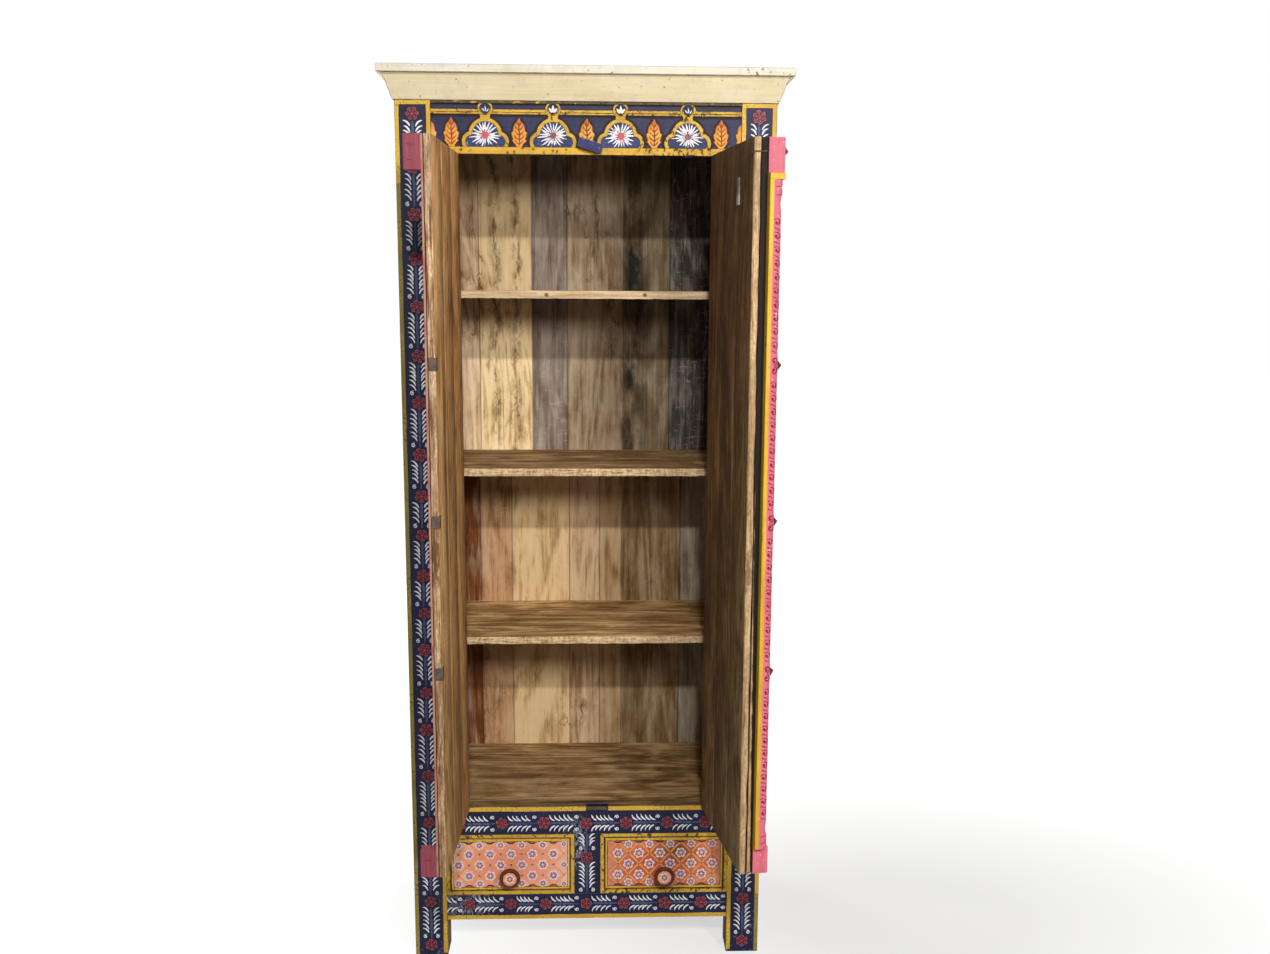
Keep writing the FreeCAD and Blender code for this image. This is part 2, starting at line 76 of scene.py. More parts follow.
# Procedural materials.
class Shader:
    def __init__(self, name, seed):
        self.mat = bpy.data.materials.new(name)
        self.mat.use_nodes = True
        self.tree = self.mat.node_tree
        self.bsdf = self.tree.nodes["Principled BSDF"]
        self.bsdf.inputs["Specular IOR Level"].default_value = 0.2
        self.coord = self.tree.nodes.new("ShaderNodeTexCoord")
        self.offset = (seed * 1.37, seed * 0.71, seed * 2.13)

    def node(self, kind, values, out=0, **props):
        node = self.tree.nodes.new("ShaderNode" + kind)
        for key, value in props.items():
            setattr(node, key, value)
        for key, value in values.items():
            if isinstance(value, bpy.types.NodeSocket):
                self.tree.links.new(value, node.inputs[key])
            else:
                node.inputs[key].default_value = rgb(value) if isinstance(value, str) else value
        return node.outputs[out]

    def noise(self, stretch, detail=4, rough=0.55, twist=0, spin=(0, 0, 0)):
        place = {"Vector": self.coord.outputs["Object"], "Location": self.offset, "Rotation": spin, "Scale": stretch}
        vector = self.node("Mapping", place)
        values = {"Vector": vector, "Scale": 1, "Detail": detail, "Roughness": rough, "Distortion": twist}
        return self.node("TexNoise", values)

    def math(self, operation, a, b=0, c=0):
        return self.node("Math", {0: a, 1: b, 2: c}, operation=operation)

    def times(self, a, b):
        return self.math("MULTIPLY", a, b)

    def scaled(self, a, share, rest):
        return self.math("MULTIPLY_ADD", a, share, rest)

    def most(self, a, b):
        return self.math("MAXIMUM", a, b)

    def off(self, a, b):
        """How far apart two values are."""
        return self.math("ABSOLUTE", self.math("SUBTRACT", a, b))

    def span(self, value, low, high, to_low=0, to_high=1):
        values = {"Value": value, "From Min": low, "From Max": high, "To Min": to_low, "To Max": to_high}
        return self.node("MapRange", values)

    def mix(self, factor, a, b, blend="MIX"):
        return self.node("Mix", {0: factor, 6: a, 7: b}, out=2, data_type="RGBA", blend_type=blend)

    def tinted(self, colour, by, share=1):
        """The colour multiplied by another one, as far as the share says."""
        return self.mix(share, colour, by, "MULTIPLY")

    def shaded(self, colour, level):
        return self.tinted(colour, self.node("CombineXYZ", {0: level, 1: level, 2: level}))

    def ramp(self, factor, stops, mode="LINEAR"):
        node = self.tree.nodes.new("ShaderNodeValToRGB")
        node.color_ramp.interpolation = mode
        elements = node.color_ramp.elements
        for i, (place, colour) in enumerate(stops):
            element = elements[i] if i < 2 else elements.new(place)
            element.position, element.color = place, rgb(colour)
        self.tree.links.new(factor, node.inputs[0])
        return node.outputs[0]

    def axis(self, name):
        return self.node("SeparateXYZ", {0: self.coord.outputs["Object"]}, out=name)

    def near(self, axis, centre, inner, outer):
        """One within inner of the centre along the axis, zero past outer, in millimetres."""
        away = self.off(self.axis(axis), centre / 1000)
        return self.span(away, outer / 1000, inner / 1000)

    def facing(self, direction):
        """One where the surface faces the direction, zero where it lies along it."""
        values = {0: self.coord.outputs["Normal"], 1: direction}
        return self.node("VectorMath", values, out="Value", operation="DOT_PRODUCT")

    def edges(self, radius):
        """The normal with its edges rounded, and how sharp the edge is there."""
        soft = self.node("Bevel", {"Radius": radius}, samples=4)
        sharp = self.node("NewGeometry", {}, out="Normal")
        along = self.node("VectorMath", {0: soft, 1: sharp}, out="Value", operation="DOT_PRODUCT")
        return soft, self.math("SUBTRACT", 1, along)

    def finish(self, colour, rough, height, strength, distance, normal=None):
        values = {"Height": height, "Strength": strength, "Distance": distance}
        if normal is not None:
            values["Normal"] = normal
        bump = self.node("Bump", values)
        for key, value in (("Base Color", colour), ("Roughness", rough), ("Normal", bump)):
            self.tree.links.new(value, self.bsdf.inputs[key])
        return self.mat


def along_axis(axis, across, length):
    return tuple(length if letter == axis else across for letter in "xyz")


def figure(s, axis):
    """Grain of old planks: a level around 0.5, its relief, thin cracks, and the stain beside them."""
    flow = s.noise(along_axis(axis, 6, 1), 3, 0.5, 0.9)
    rings = s.math("SINE", s.times(flow, 74))
    streak = s.noise(along_axis(axis, 120, 3.2), 6, 0.68)
    fibre = s.noise(along_axis(axis, 300, 18), 5, 0.7)
    cloud = s.noise(along_axis(axis, 17, 8), 6, 0.64, 0.5)
    level = s.scaled(rings, 0.045, s.times(streak, 0.34))
    level = s.scaled(fibre, 0.26, level)
    level = s.scaled(cloud, 0.4, level)
    seam = s.off(s.noise(along_axis(axis, 9, 3.4), 5, 0.52), 0.5)
    rare = s.span(s.noise(along_axis(axis, 5, 2.4), 2), 0.5, 0.6)
    broken = s.span(s.noise((60, 60, 38), 3), 0.4, 0.56)
    cracks = s.times(s.times(s.span(seam, 0.007, 0.002), rare), broken)
    blot = s.times(s.span(seam, 0.06, 0), s.span(s.noise((34, 34, 22), 5, 0.65), 0.46, 0.62))
    relief = s.scaled(cracks, -1.2, s.scaled(fibre, 0.7, streak))
    return level, relief, cracks, s.times(blot, rare)


def grain(s, axis, tones):
    level, relief, cracks, blot = figure(s, axis)
    dark, mid, light = tones
    colour = s.ramp(level, [(0.38, dark), (0.5, mid), (0.63, light)])
    return s.mix(s.times(s.most(cracks, s.times(blot, 0.7)), 0.7), colour, dark), relief


def wood(name, axis, tones, seed):
    s = Shader(name, seed)
    colour, height = grain(s, axis, tones)
    stain = s.span(s.noise((7, 7, 5), 6, 0.65), 0.52, 0.75)
    colour = s.mix(s.times(stain, 0.35), colour, tones[0])
    soft, edge = s.edges(0.0022)
    worn = s.times(s.span(edge, 0.05, 0.25), s.span(s.noise((60, 60, 60)), 0.35, 0.65))
    colour = s.mix(s.times(worn, 0.5), colour, tones[2])
    rough = s.span(s.noise((30, 30, 30)), 0.2, 0.8, 0.62, 0.85)
    return s.finish(colour, rough, height, 0.55, 0.0008, soft)


def by_place(s, axis, edges, colours):
    """A flat colour from each edge to the next one."""
    low, high = edges[0], edges[-1]
    place = s.span(s.axis(axis), low / 1000, high / 1000)
    return s.ramp(place, [((e - low) / (high - low), c) for e, c in zip(edges, colours)], "CONSTANT")


def back_wood(name, seed, edges, colours, scuffed, stains=(), blackened=None, painted_light_corner=None):
    """Plank wall: a tone for each plank, stained cracks, pale scratches on grey planks, soot, and a lower left made
    paler by painted light.
    """
    s = Shader(name, seed)
    level, height, cracks, blot = figure(s, "z")
    tone = by_place(s, "X", edges, colours)
    dark = s.tinted(tone, "baaa98")
    light = s.mix(0.26, tone, "faeed4")
    colour = s.mix(s.span(level, 0.38, 0.5), dark, tone)
    colour = s.mix(s.span(level, 0.5, 0.64), colour, light)
    shadow = s.tinted(tone, "8e7050")
    knots = s.span(s.noise((20, 20, 7), 6, 0.68, 0.8), 0.6, 0.72)
    colour = s.mix(s.times(s.most(s.times(knots, 0.7), blot), 0.85), colour, shadow)
    sway = s.scaled(s.noise((0, 0, 8), 5, 0.6), 0.07, s.axis("X"))
    speckle = s.span(s.noise((70, 70, 26), 6, 0.7), 0.44, 0.6)
    for x in stains:
        band = s.span(s.off(sway, x / 1000 + 0.035), 0.017, 0.002)
        colour = s.mix(s.times(s.times(band, speckle), 0.85), colour, s.mix(0.5, shadow, "46321c"))
    grey = by_place(s, "X", edges, scuffed)
    scratch = s.span(s.noise((130, 130, 12), 6, 0.72, 0.6), 0.56, 0.68)
    saw_marks = s.times(s.span(s.noise((36, 36, 210), 5, 0.6, 0, (0, 0.2, 0)), 0.58, 0.68), 0.6)
    patch = s.span(s.noise((9, 9, 6), 3), 0.42, 0.6)
    rubbed = s.times(s.times(s.most(scratch, saw_marks), patch), grey)
    colour = s.mix(s.times(rubbed, 0.6), colour, "cec6ba")
    colour = s.mix(s.times(cracks, 0.7), colour, "4e361e")
    if painted_light_corner is not None:
        x, z = painted_light_corner
        left_of = s.span(s.axis("X"), (x + 1) / 1000, (x - 1) / 1000)
        below = s.span(s.axis("Z"), z / 1000, z / 1000 - 0.03)
        # Painted light: left of x and below z the planks are made paler.
        colour = s.tinted(colour, (1.42, 1.48, 1.54, 1), s.times(left_of, below))
    if blackened is not None:
        smudge = s.scaled(s.near("Z", SOOT_Z, 30, 130), 0.2, s.noise((26, 26, 14), 6, 0.62))
        soot = s.times(s.near("X", blackened, 10, 42), s.span(smudge, 0.44, 0.66))
        colour = s.mix(s.times(soot, 0.95), colour, "161610")
    joints = [s.near("X", e, 0.3, 2.2) for e in edges[1:-1]]
    gap = joints[0]
    for joint in joints[1:]:
        gap = s.most(gap, joint)
    colour = s.mix(s.times(gap, 0.55), colour, "3e2c1a")
    rough = s.span(s.noise((30, 30, 30)), 0.2, 0.8, 0.7, 0.9)
    return s.finish(colour, rough, height, 0.45, 0.0008)


def sawn(s, tones, spin):
    """Saw-cut end or edge: slanting saw marks and short splinters."""
    marks = s.noise((30, 30, 300), 4, 0.6, 0, spin)
    splinter = s.noise((150, 150, 70), 6, 0.7, 0.3)
    level = s.scaled(marks, 0.5, s.times(splinter, 0.5))
    dark, mid, light = tones
    return s.ramp(level, [(0.4, dark), (0.49, mid), (0.57, light)]), level


def shelf_wood(name, tones, edge_tones, seed, saw, holes=()):
    s = Shader(name, seed)
    colour, height = grain(s, "x", tones)
    dust = s.span(s.noise((14, 9, 9), 6, 0.65), 0.5, 0.72)
    colour = s.mix(s.times(dust, 0.3), colour, tones[0])
    lowest = s.times(s.span(s.axis("Z"), 1, 0.9), s.span(s.axis("Z"), 0.5, 0.6))
    colour = s.tinted(colour, (1.34, 1.32, 1.26, 1), lowest)
    cut, cut_height = sawn(s, edge_tones, (0, 0.7, 0))
    long_grain = s.span(s.noise((7, 60, 130), 5, 0.62), 0.36, 0.64)
    plain = s.mix(long_grain, s.mix(0.3, edge_tones[1], edge_tones[0]), edge_tones[2])
    cut = s.mix(saw, plain, cut)
    for x, z in holes:
        hole = s.times(s.near("X", x, 2.2, 5.5), s.near("Z", z, 2, 5))
        cut = s.mix(s.times(hole, 0.85), cut, "362414")
    front = s.span(s.facing((0, -1, 0)), 0.35, 0.6)
    colour = s.mix(front, colour, cut)
    height = s.math("ADD", height, s.times(cut_height, s.times(front, saw)))
    rough = s.span(height, 0.2, 1.2, 0.6, 0.82)
    return s.finish(colour, rough, height, 0.5, 0.0008)


def coat(s, colour, shade, axis, wear, under, grime, edge_wear=0.8):
    """A film of paint with dirt, chips and rubbed edges: its colour, relief, bare places and rounded normal."""
    brush = s.noise(along_axis(axis, 190, 9), 4, 0.6)
    cloud = s.noise((9, 9, 9), 5, 0.6)
    film = s.mix(s.span(s.math("ADD", s.times(brush, 0.5), s.times(cloud, 0.5)), 0.36, 0.64), shade, colour)
    dirt = s.span(s.noise((26, 26, 20), 7, 0.7), 0.5, 0.78)
    film = s.mix(s.times(dirt, grime), film, "463a28")
    chips = s.noise((120, 120, 95), 5, 0.62)
    region = s.noise((6, 6, 4.5), 3)
    level = s.scaled(s.math("SUBTRACT", region, 0.5), 0.35, chips)
    level = s.math("ADD", level, s.span(s.axis("Z"), 0.09, 0, 0, 0.13))
    scuff = s.span(level, 0.72 - 0.14 * wear, 0.76 - 0.12 * wear)
    soft, edge = s.edges(0.002)
    rubbed = s.span(s.scaled(chips, 0.35, s.times(edge, edge_wear * 2)), 0.34, 0.5)
    bare = s.most(scuff, rubbed)
    film = s.mix(bare, film, under)
    height = s.scaled(bare, -0.8, s.scaled(brush, 0.5, s.times(cloud, 0.3)))
    return film, height, bare, soft


def paint(name, colour, shade, seed, axis, wear, under, grime, front=None, tones=None, gloss=0.5, edge_wear=0.8,
          extra=None):
    """A coat of paint; with a front, only the faces turned that way are painted and the rest is bare wood."""
    s = Shader(name, seed)
    film, height, bare, soft = coat(s, colour, shade, axis, wear, under, grime, edge_wear)
    if extra is not None:
        film = extra(s, film)
    if front is not None:
        raw, raw_height = grain(s, axis, tones)
        painted = s.span(s.facing(front), 0.35, 0.45)
        film = s.mix(painted, raw, film)
        height = s.mix(painted, raw_height, height)
        bare = s.most(bare, s.math("SUBTRACT", 1, painted))
    rough = s.span(bare, 0, 1, gloss, 0.8)
    return s.finish(film, rough, height, 0.4, 0.0006, soft)


def stroke_paint(name, colour, shade, ground, seed, thin, gloss=0.45):
    s = Shader(name, seed)
    brush = s.noise((210, 210, 210), 5, 0.65)
    cloud = s.noise((14, 14, 11), 4)
    film = s.mix(s.span(cloud, 0.35, 0.65), shade, colour)
    level = s.scaled(s.math("SUBTRACT", cloud, 0.5), 0.5, brush)
    worn = s.span(level, 0.62 - 0.2 * thin, 0.74 - 0.16 * thin)
    film = s.mix(s.times(worn, 0.85), film, ground)
    rough = s.span(worn, 0, 1, gloss, 0.75)
    return s.finish(film, rough, brush, 0.35, 0.0004)


def iron(name, seed, tones, extra=None):
    s = Shader(name, seed)
    s.bsdf.inputs["Specular IOR Level"].default_value = 0.5
    rust = s.noise((90, 90, 90), 7, 0.7)
    pits = s.noise((420, 420, 420), 4)
    colour = s.ramp(rust, [(0.3, tones[0]), (0.5, tones[1]), (0.7, tones[2])])
    soft, edge = s.edges(0.001)
    colour = s.mix(s.span(edge, 0.08, 0.3), colour, "8c847c")
    if extra is not None:
        colour = extra(s, colour)
    s.bsdf.inputs["Metallic"].default_value = 0.55
    rough = s.span(rust, 0.25, 0.75, 0.4, 0.75)
    return s.finish(colour, rough, s.math("ADD", rust, pits), 0.5, 0.0005, soft)


def leaf(side):
    """Places on a door as it stands open: from its hinge edge, its depth when shut, and height."""
    sign, turn = SIDE[side], TURN[side]
    pivot = Vector((sign * PIN_X, PIN_Y, 0))
    spin = Matrix.Rotation(turn, 3, "Z")
    shift = Vector((0, FRONT, 0))

    def place(u, depth, z):
        closed = Vector((sign * (HALF_OPEN - HINGE_GAP - u), depth, z))
        return (spin @ (closed - pivot) + pivot + shift) * MM

    return place


def leaf_directions(side):
    """Where the open door's leading edge and its outer face look."""
    turn, sign = TURN[side], SIDE[side]
    lead = (-sign * cos(turn), -sign * sin(turn), 0)
    outward = (sin(turn), -cos(turn), 0)
    return lead, outward


def door_wood(name, side, tones, edge_tones, ragged, seed, low):
    lead, outward = leaf_directions(side)
    s = Shader(name, seed)
    inside, height = grain(s, "z", tones)
    step = LEAF_W / 3
    board_edges = [FRONT - LEAF_W + i * step for i in range(3)] + [FRONT + 12]
    shades = ("fff4e2", "deccb8", "f0dcc4", "f0dcc4")
    inside = s.tinted(inside, by_place(s, "Y", board_edges, shades))
    inside = s.tinted(inside, low, s.span(s.axis("Z"), 1.5, 0.5))
    stain = s.span(s.noise((9, 9, 5), 6, 0.65), 0.5, 0.72)
    inside = s.mix(s.times(stain, 0.4), inside, tones[0])
    coarse = s.span(s.noise((240, 240, 34), 6, 0.75), 0.34, 0.66, 0.74, 1.2)
    inside = s.shaded(inside, coarse)
    gash = s.times(s.span(s.noise((150, 150, 8), 3, 0.5), 0.655, 0.69), 0.75)
    inside = s.mix(gash, inside, "2c1d10")
    splinter = s.noise((280, 280, 15), 6, 0.7, 0.3)
    patch = s.noise((24, 24, 9), 5, 0.66)
    split = s.scaled(splinter, 0.68, s.times(patch, 0.32))
    cut = s.ramp(split, [(0.5 - ragged, edge_tones[0]), (0.5, edge_tones[1]), (0.5 + ragged, edge_tones[2])])
    crackle = s.span(s.noise((260, 260, 110), 6, 0.75), 0.36, 0.64, 0.66, 1.24)
    cut = s.shaded(cut, crackle)
    gnarl = s.scaled(s.near("Z", KNOT_Z, 50, 170), 0.12, s.noise((42, 42, 20), 6, 0.72, 0.6))
    knot = s.span(gnarl, 0.62, 0.7)
    cut = s.mix(s.times(s.span(s.noise((4, 4, 5), 3), 0.42, 0.68), 0.5), cut, edge_tones[0])
    cut = s.mix(s.times(knot, 0.75), cut, edge_tones[0])
    weathered = s.times(s.near("Z", WEATHERED_Z, 20, 130), s.span(s.noise((90, 90, 30), 6, 0.7), 0.4, 0.6))
    cut = s.mix(s.times(weathered, 0.6), cut, s.mix(0.5, edge_tones[0], "969082"))
    meeting = s.span(s.axis("Y"), (board_edges[0] + 60) / 1000, (board_edges[0] + 40) / 1000)
    colour = s.mix(s.times(s.span(s.facing(lead), 0.35, 0.6), meeting), inside, cut)
    # Painted shade: the planks' rounded front arrises, turned partly outward, are coloured near black.
    colour = s.mix(s.span(s.facing(outward), 0.25, 0.5), colour, "18140c")
    film = coat(s, NAVY, NAVY_SHADE, "z", 0.5, tones[1], 0.25)[0]
    colour = s.mix(s.span(s.facing(outward), 0.85, 0.95), colour, film)
    rough = s.span(splinter, 0.2, 0.8, 0.6, 0.85)
    return s.finish(colour, rough, s.math("ADD", height, splinter), 0.6, 0.001)


def left_meeting_edge(s, film):
    """Bare wood with the paint left in patches."""
    lead = leaf_directions("left")[0]
    patch = s.span(s.noise((40, 40, 15), 6, 0.7), 0.38, 0.5)
    return s.mix(s.times(s.span(s.facing(lead), 0.5, 0.6), patch), film, "b28870")


def right_meeting_edge(s, film):
    """Near black across its thickness at the top, which is painted shade for the recess there, and worn to bare wood
    from the planks' side further down.
    """
    lead = leaf_directions("right")[0]
    at = leaf("right")
    planks, panel = (at(FRAME_LEAD["right"], depth, 0).x for depth in (PLANK_FRONT["right"], PANEL_FRONT["right"]))
    across = s.span(s.axis("X"), planks, panel)
    rough = s.noise((70, 70, 24), 6, 0.7)
    limit = s.scaled(s.math("SUBTRACT", rough, 0.5), 0.5, s.span(s.axis("Z"), 1.25, 0.3, -0.15, 0.66))
    bare = s.mix(s.span(rough, 0.36, 0.62), WORN_EDGE[0], WORN_EDGE[1])
    # Painted shade: the near-black colour stands in for the recess's shadow.
    edge = s.mix(s.span(s.math("SUBTRACT", across, limit), -0.04, 0.04), bare, "14110a")
    return s.mix(s.span(s.facing(lead), 0.5, 0.6), film, edge)


def painted_light_towards_foot(s, film):
    """Paler towards the foot: painted light."""
    return s.tinted(film, (1.4, 1.32, 1.3, 1), s.span(s.axis("Z"), 1.55, 0.4))


def drawer_ground(centre, faded, smoke):
    def ground(s, film):
        warm = s.span(s.noise((16, 16, 16), 4), 0.35, 0.65)
        film = s.mix(s.times(warm, 0.32), film, "e28454")
        middle = s.times(s.near("X", centre, 62, 118), s.near("Z", 216, 26, 64))
        rub = s.span(s.noise((34, 34, 60), 6, 0.7), 0.3, 0.62)
        film = s.mix(s.times(s.times(s.math("SUBTRACT", 1, middle), rub), faded), film, "eeceb0")
        haze = s.times(s.near("X", centre + 24, 4, 66), s.near("Z", 246, 4, 42))
        return s.mix(s.times(haze, smoke), film, "603e2c")

    return ground


def band_wear(s, film):
    """The frieze's top line is nearly gone, and the band under it is chipped, more so on the right."""
    chips = s.math("ADD", s.noise((46, 46, 90), 6, 0.68), s.span(s.axis("X"), 0.05, 0.3, 0, 0.06))
    line = s.times(s.near("Z", Z_CORNICE - 2.6, 3, 4), s.span(chips, 0.37, 0.46))
    film = s.mix(s.times(line, 0.88), film, "221f28")
    band = s.times(s.near("Z", Z_CORNICE - 22.6, 6, 8), s.span(chips, 0.56, 0.63))
    return s.mix(s.times(band, 0.8), film, "423626")


def rail_wear(s, film):
    post = s.times(s.near("X", -24, 6, 32), s.near("Z", 262, 40, 75))
    corner = s.times(s.near("X", -272, 20, 64), s.near("Z", 125, 15, 45))
    scrape = s.span(s.noise((150, 150, 80), 6, 0.7), 0.5, 0.56)
    return s.mix(s.times(s.times(s.most(post, corner), scrape), 0.7), film, "a6a8b4")


def plate_tarnish(s, colour):
    low, high = (corner.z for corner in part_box("right_door_plate"))
    upper = s.span(s.axis("Z"), low + 0.3 * (high - low), low + 0.45 * (high - low))
    return s.mix(s.times(upper, 0.65), colour, "4a443e")


def leaf_tips(s, film):
    tip = s.span(s.axis("Z"), 1.79, 1.82, 0, 0.5)
    burnt = s.scaled(s.noise((60, 60, 60), 5, 0.65), 0.6, tip)
    return s.mix(s.times(s.span(burnt, 0.36, 0.7), 0.7), film, "ac522a")


NAVY, NAVY_SHADE, SLATE = "1d2044", "0c0e24", "545a70"
YELLOW, OCHRE = "e4ba42", "c0922e"
CREAM, CREAM_SHADE = "e7dbba", "d8c9a3"
PINK, PINK_SHADE = "cc6f80", "bc5c6e"
MAROON, MAROON_SHADE = "6c2e26", "461c18"
OLD_WOOD = ("3e2e1c", "70583a", "9e825c")
PALE_WOOD = ("7e5f3c", "c4a57b", "e8cfaa")
RAW_EDGE = ("684a2e", "b6906a", "e2c4a0")
WORN_EDGE = ("806242", "c8a67a", "e6cca2")
FACE = (0, -1, 0)
PLAIN, HALF_SCUFFED, SCUFFED = "000000", "a0a0a0", "ffffff"
UPPER_EDGES = (-345, -257, -133, -50, 84, 194, 287, 345)
UPPER_TONES = ("c5a886", "d8bc8d", "8e7f74", "a89277", "7a6951", "484240", "484240", "484240")
UPPER_SCUFFS = (PLAIN, PLAIN, SCUFFED, HALF_SCUFFED, PLAIN, SCUFFED, SCUFFED, SCUFFED)
LOWER_EDGES = (-345, -262, -186, -46, 28, 82, 226, 345)
LOWER_TONES = ("7a4824", "c49a71", "e0c190", "dabb96", "c8a97e", "8b714f", "968b7a", "968b7a")
LOWER_SCUFFS = (PLAIN, SCUFFED, PLAIN, PLAIN, PLAIN, PLAIN, SCUFFED, SCUFFED)

# A look's material, and the nodes that wear it.
LOOKS = {
    "blue_z": (
        paint("blue_paint_upright", NAVY, NAVY_SHADE, 1, "z", 0.35, SLATE, 0.12, FACE, OLD_WOOD, extra=rail_wear),
        "stile_left stile_right drawer_post"),
    "blue_x": (
        paint("blue_paint_rail", NAVY, NAVY_SHADE, 2, "x", 0.4, SLATE, 0.12, FACE, OLD_WOOD, extra=rail_wear),
        "mid_rail bottom_rail"),
    "blue_frieze": (
        paint("blue_paint_frieze", "2c2e56", "161630", 35, "x", 0.6, "68626e", 0.3),
        "frieze_board cornice_backing"),
    "blue_field": (
        paint("blue_paint_field", "323c6c", "1b2144", 3, "x", 0.7, "8c8e9c", 0.2),
        "frieze_fields"),
    "blue_button": (
        paint("blue_paint_button", "2e3670", "1a1e42", 4, "x", 0.6, "9696a5", 0.2),
        "turn_button button_screw"),
    "yellow_x": (
        paint("yellow_paint_level", YELLOW, OCHRE, 5, "x", 1.1, "564628", 0.6, edge_wear=1.2, extra=band_wear),
        "frieze_arches frieze_bands drawer_bead_left drawer_bead_right"),
    "yellow_z": (
        paint("yellow_paint_upright", "ecbe34", OCHRE, 6, "z", 0.45, "705c36", 0.25),
        "right_door_astragal"),
    "leaf": (
        paint("orange_paint_leaf", "ecb24c", "dc8c36", 7, "z", 0.5, "8c4228", 0.25, extra=leaf_tips),
        "frieze_leaves"),
    "cream": (
        paint("cream_paint", CREAM, CREAM_SHADE, 8, "x", 0.4, "967e58", 0.2),
        "cornice_front cornice_left cornice_right"),
    "slab": (
        paint("cream_paint_slab", "e6e2d4", "d8d0ba", 44, "x", 0.5, "786446", 0.25, edge_wear=1.3),
        "top_slab"),
    "pink": (
        paint("pink_paint", PINK, PINK_SHADE, 9, "z", 0.5, "f0b2b6", 0.14, gloss=0.6, extra=painted_light_towards_foot),
        "right_door_top_block right_door_bottom_block right_door_column"),
    "pink_dull": (
        paint("pink_paint_dull", "a04c5a", "7e3e48", 36, "z", 0.5, "88644a", 0.3),
        "left_door_top_block left_door_bottom_block"),
    "pink_worn": (
        paint("pink_paint_worn", "ba5c68", "964c56", 45, "z", 0.8, "88644a", 0.3, gloss=0.7, extra=left_meeting_edge),
        "left_door_frame"),
    "pink_frame": (
        paint("pink_paint_frame", "d66878", "b85062", 37, "z", 0.4, "8c5c4c", 0.2, gloss=0.7,
            extra=right_meeting_edge),
        "right_door_frame"),
    "maroon": (
        paint("maroon_paint", MAROON, MAROON_SHADE, 10, "z", 0.4, "3a221a", 0.3),
        "right_door_studs drawer_left_knob drawer_right_knob"),
    "drawer_left": (
        paint("orange_paint_left_drawer", "f6a494", "ec8e7a", 11, "x", 0.3, "d6a68c", 0.15, FACE, OLD_WOOD,
            extra=drawer_ground(-171, 0.75, 0.15)),
        "drawer_left_front"),
    "drawer_right": (
        paint("orange_paint_right_drawer", "ce6852", "b4503a", 38, "x", 0.3, "be8268", 0.2, FACE, OLD_WOOD,
            extra=drawer_ground(171, 0.3, 0.85)),
        "drawer_right_front"),
    "iron": (
        iron("iron_forged", 12, ("2e2620", "564a40", "805434")),
        "left_door_clips left_door_hinges right_door_hinges frame_hinges_left frame_hinges_right"),
    "plate": (
        iron("iron_worn_bright", 42, ("96928c", "bebbb6", "8c7662"), plate_tarnish),
        "right_door_plate"),
    "left_plank": (
        door_wood("door_wood_left", "left", ("825f3a", "d6aa76", "f6d4a2"), RAW_EDGE, 0.075, 13,
            (0.78, 0.8, 0.78, 1)),
        "left_door_planks"),
    "right_plank": (
        door_wood("door_wood_right", "right", ("3a2b1c", "6e583d", "967e5e"), WORN_EDGE, 0.13, 14,
            (1.3, 1.5, 1.65, 1)),
        "right_door_planks"),
    "back_upper": (
        back_wood("back_wood_upper", 15, UPPER_EDGES, UPPER_TONES, UPPER_SCUFFS, (-216, -166), 108, (-133, 1470)),
        "back_planks_upper"),
    "back_lower": (
        back_wood("back_wood_lower", 16, LOWER_EDGES, LOWER_TONES, LOWER_SCUFFS),
        "back_planks_lower"),
    "shelf": (
        shelf_wood("shelf_wood", ("583f24", "96754c", "d4b486"), PALE_WOOD, 17, 0.85),
        "shelf_1 shelf_2 bottom_board"),
    "shelf_upper": (
        shelf_wood("shelf_wood_upper", ("583f24", "96754c", "d4b486"), PALE_WOOD, 43, 0.15,
            ((-302, 1470), (-86, 1469), (122, 1469.5))),
        "shelf_3"),
    "frame_z": (
        wood("frame_wood_upright", "z", OLD_WOOD, 18),
        "rear_post_left rear_post_right side_boards_left side_boards_right"),
    "frame_x": (
        wood("frame_wood_level", "x", OLD_WOOD, 19),
        "rear_rails"),
    "frame_y": (
        wood("frame_wood_depth", "y", OLD_WOOD, 20),
        "side_rails_left side_rails_right shelf_cleats_left shelf_cleats_right"),
    "box": (
        wood("drawer_wood", "y", ("685236", "a0845e", "c6ac84"), 21),
        "drawer_left_box drawer_right_box drawer_runners"),
}
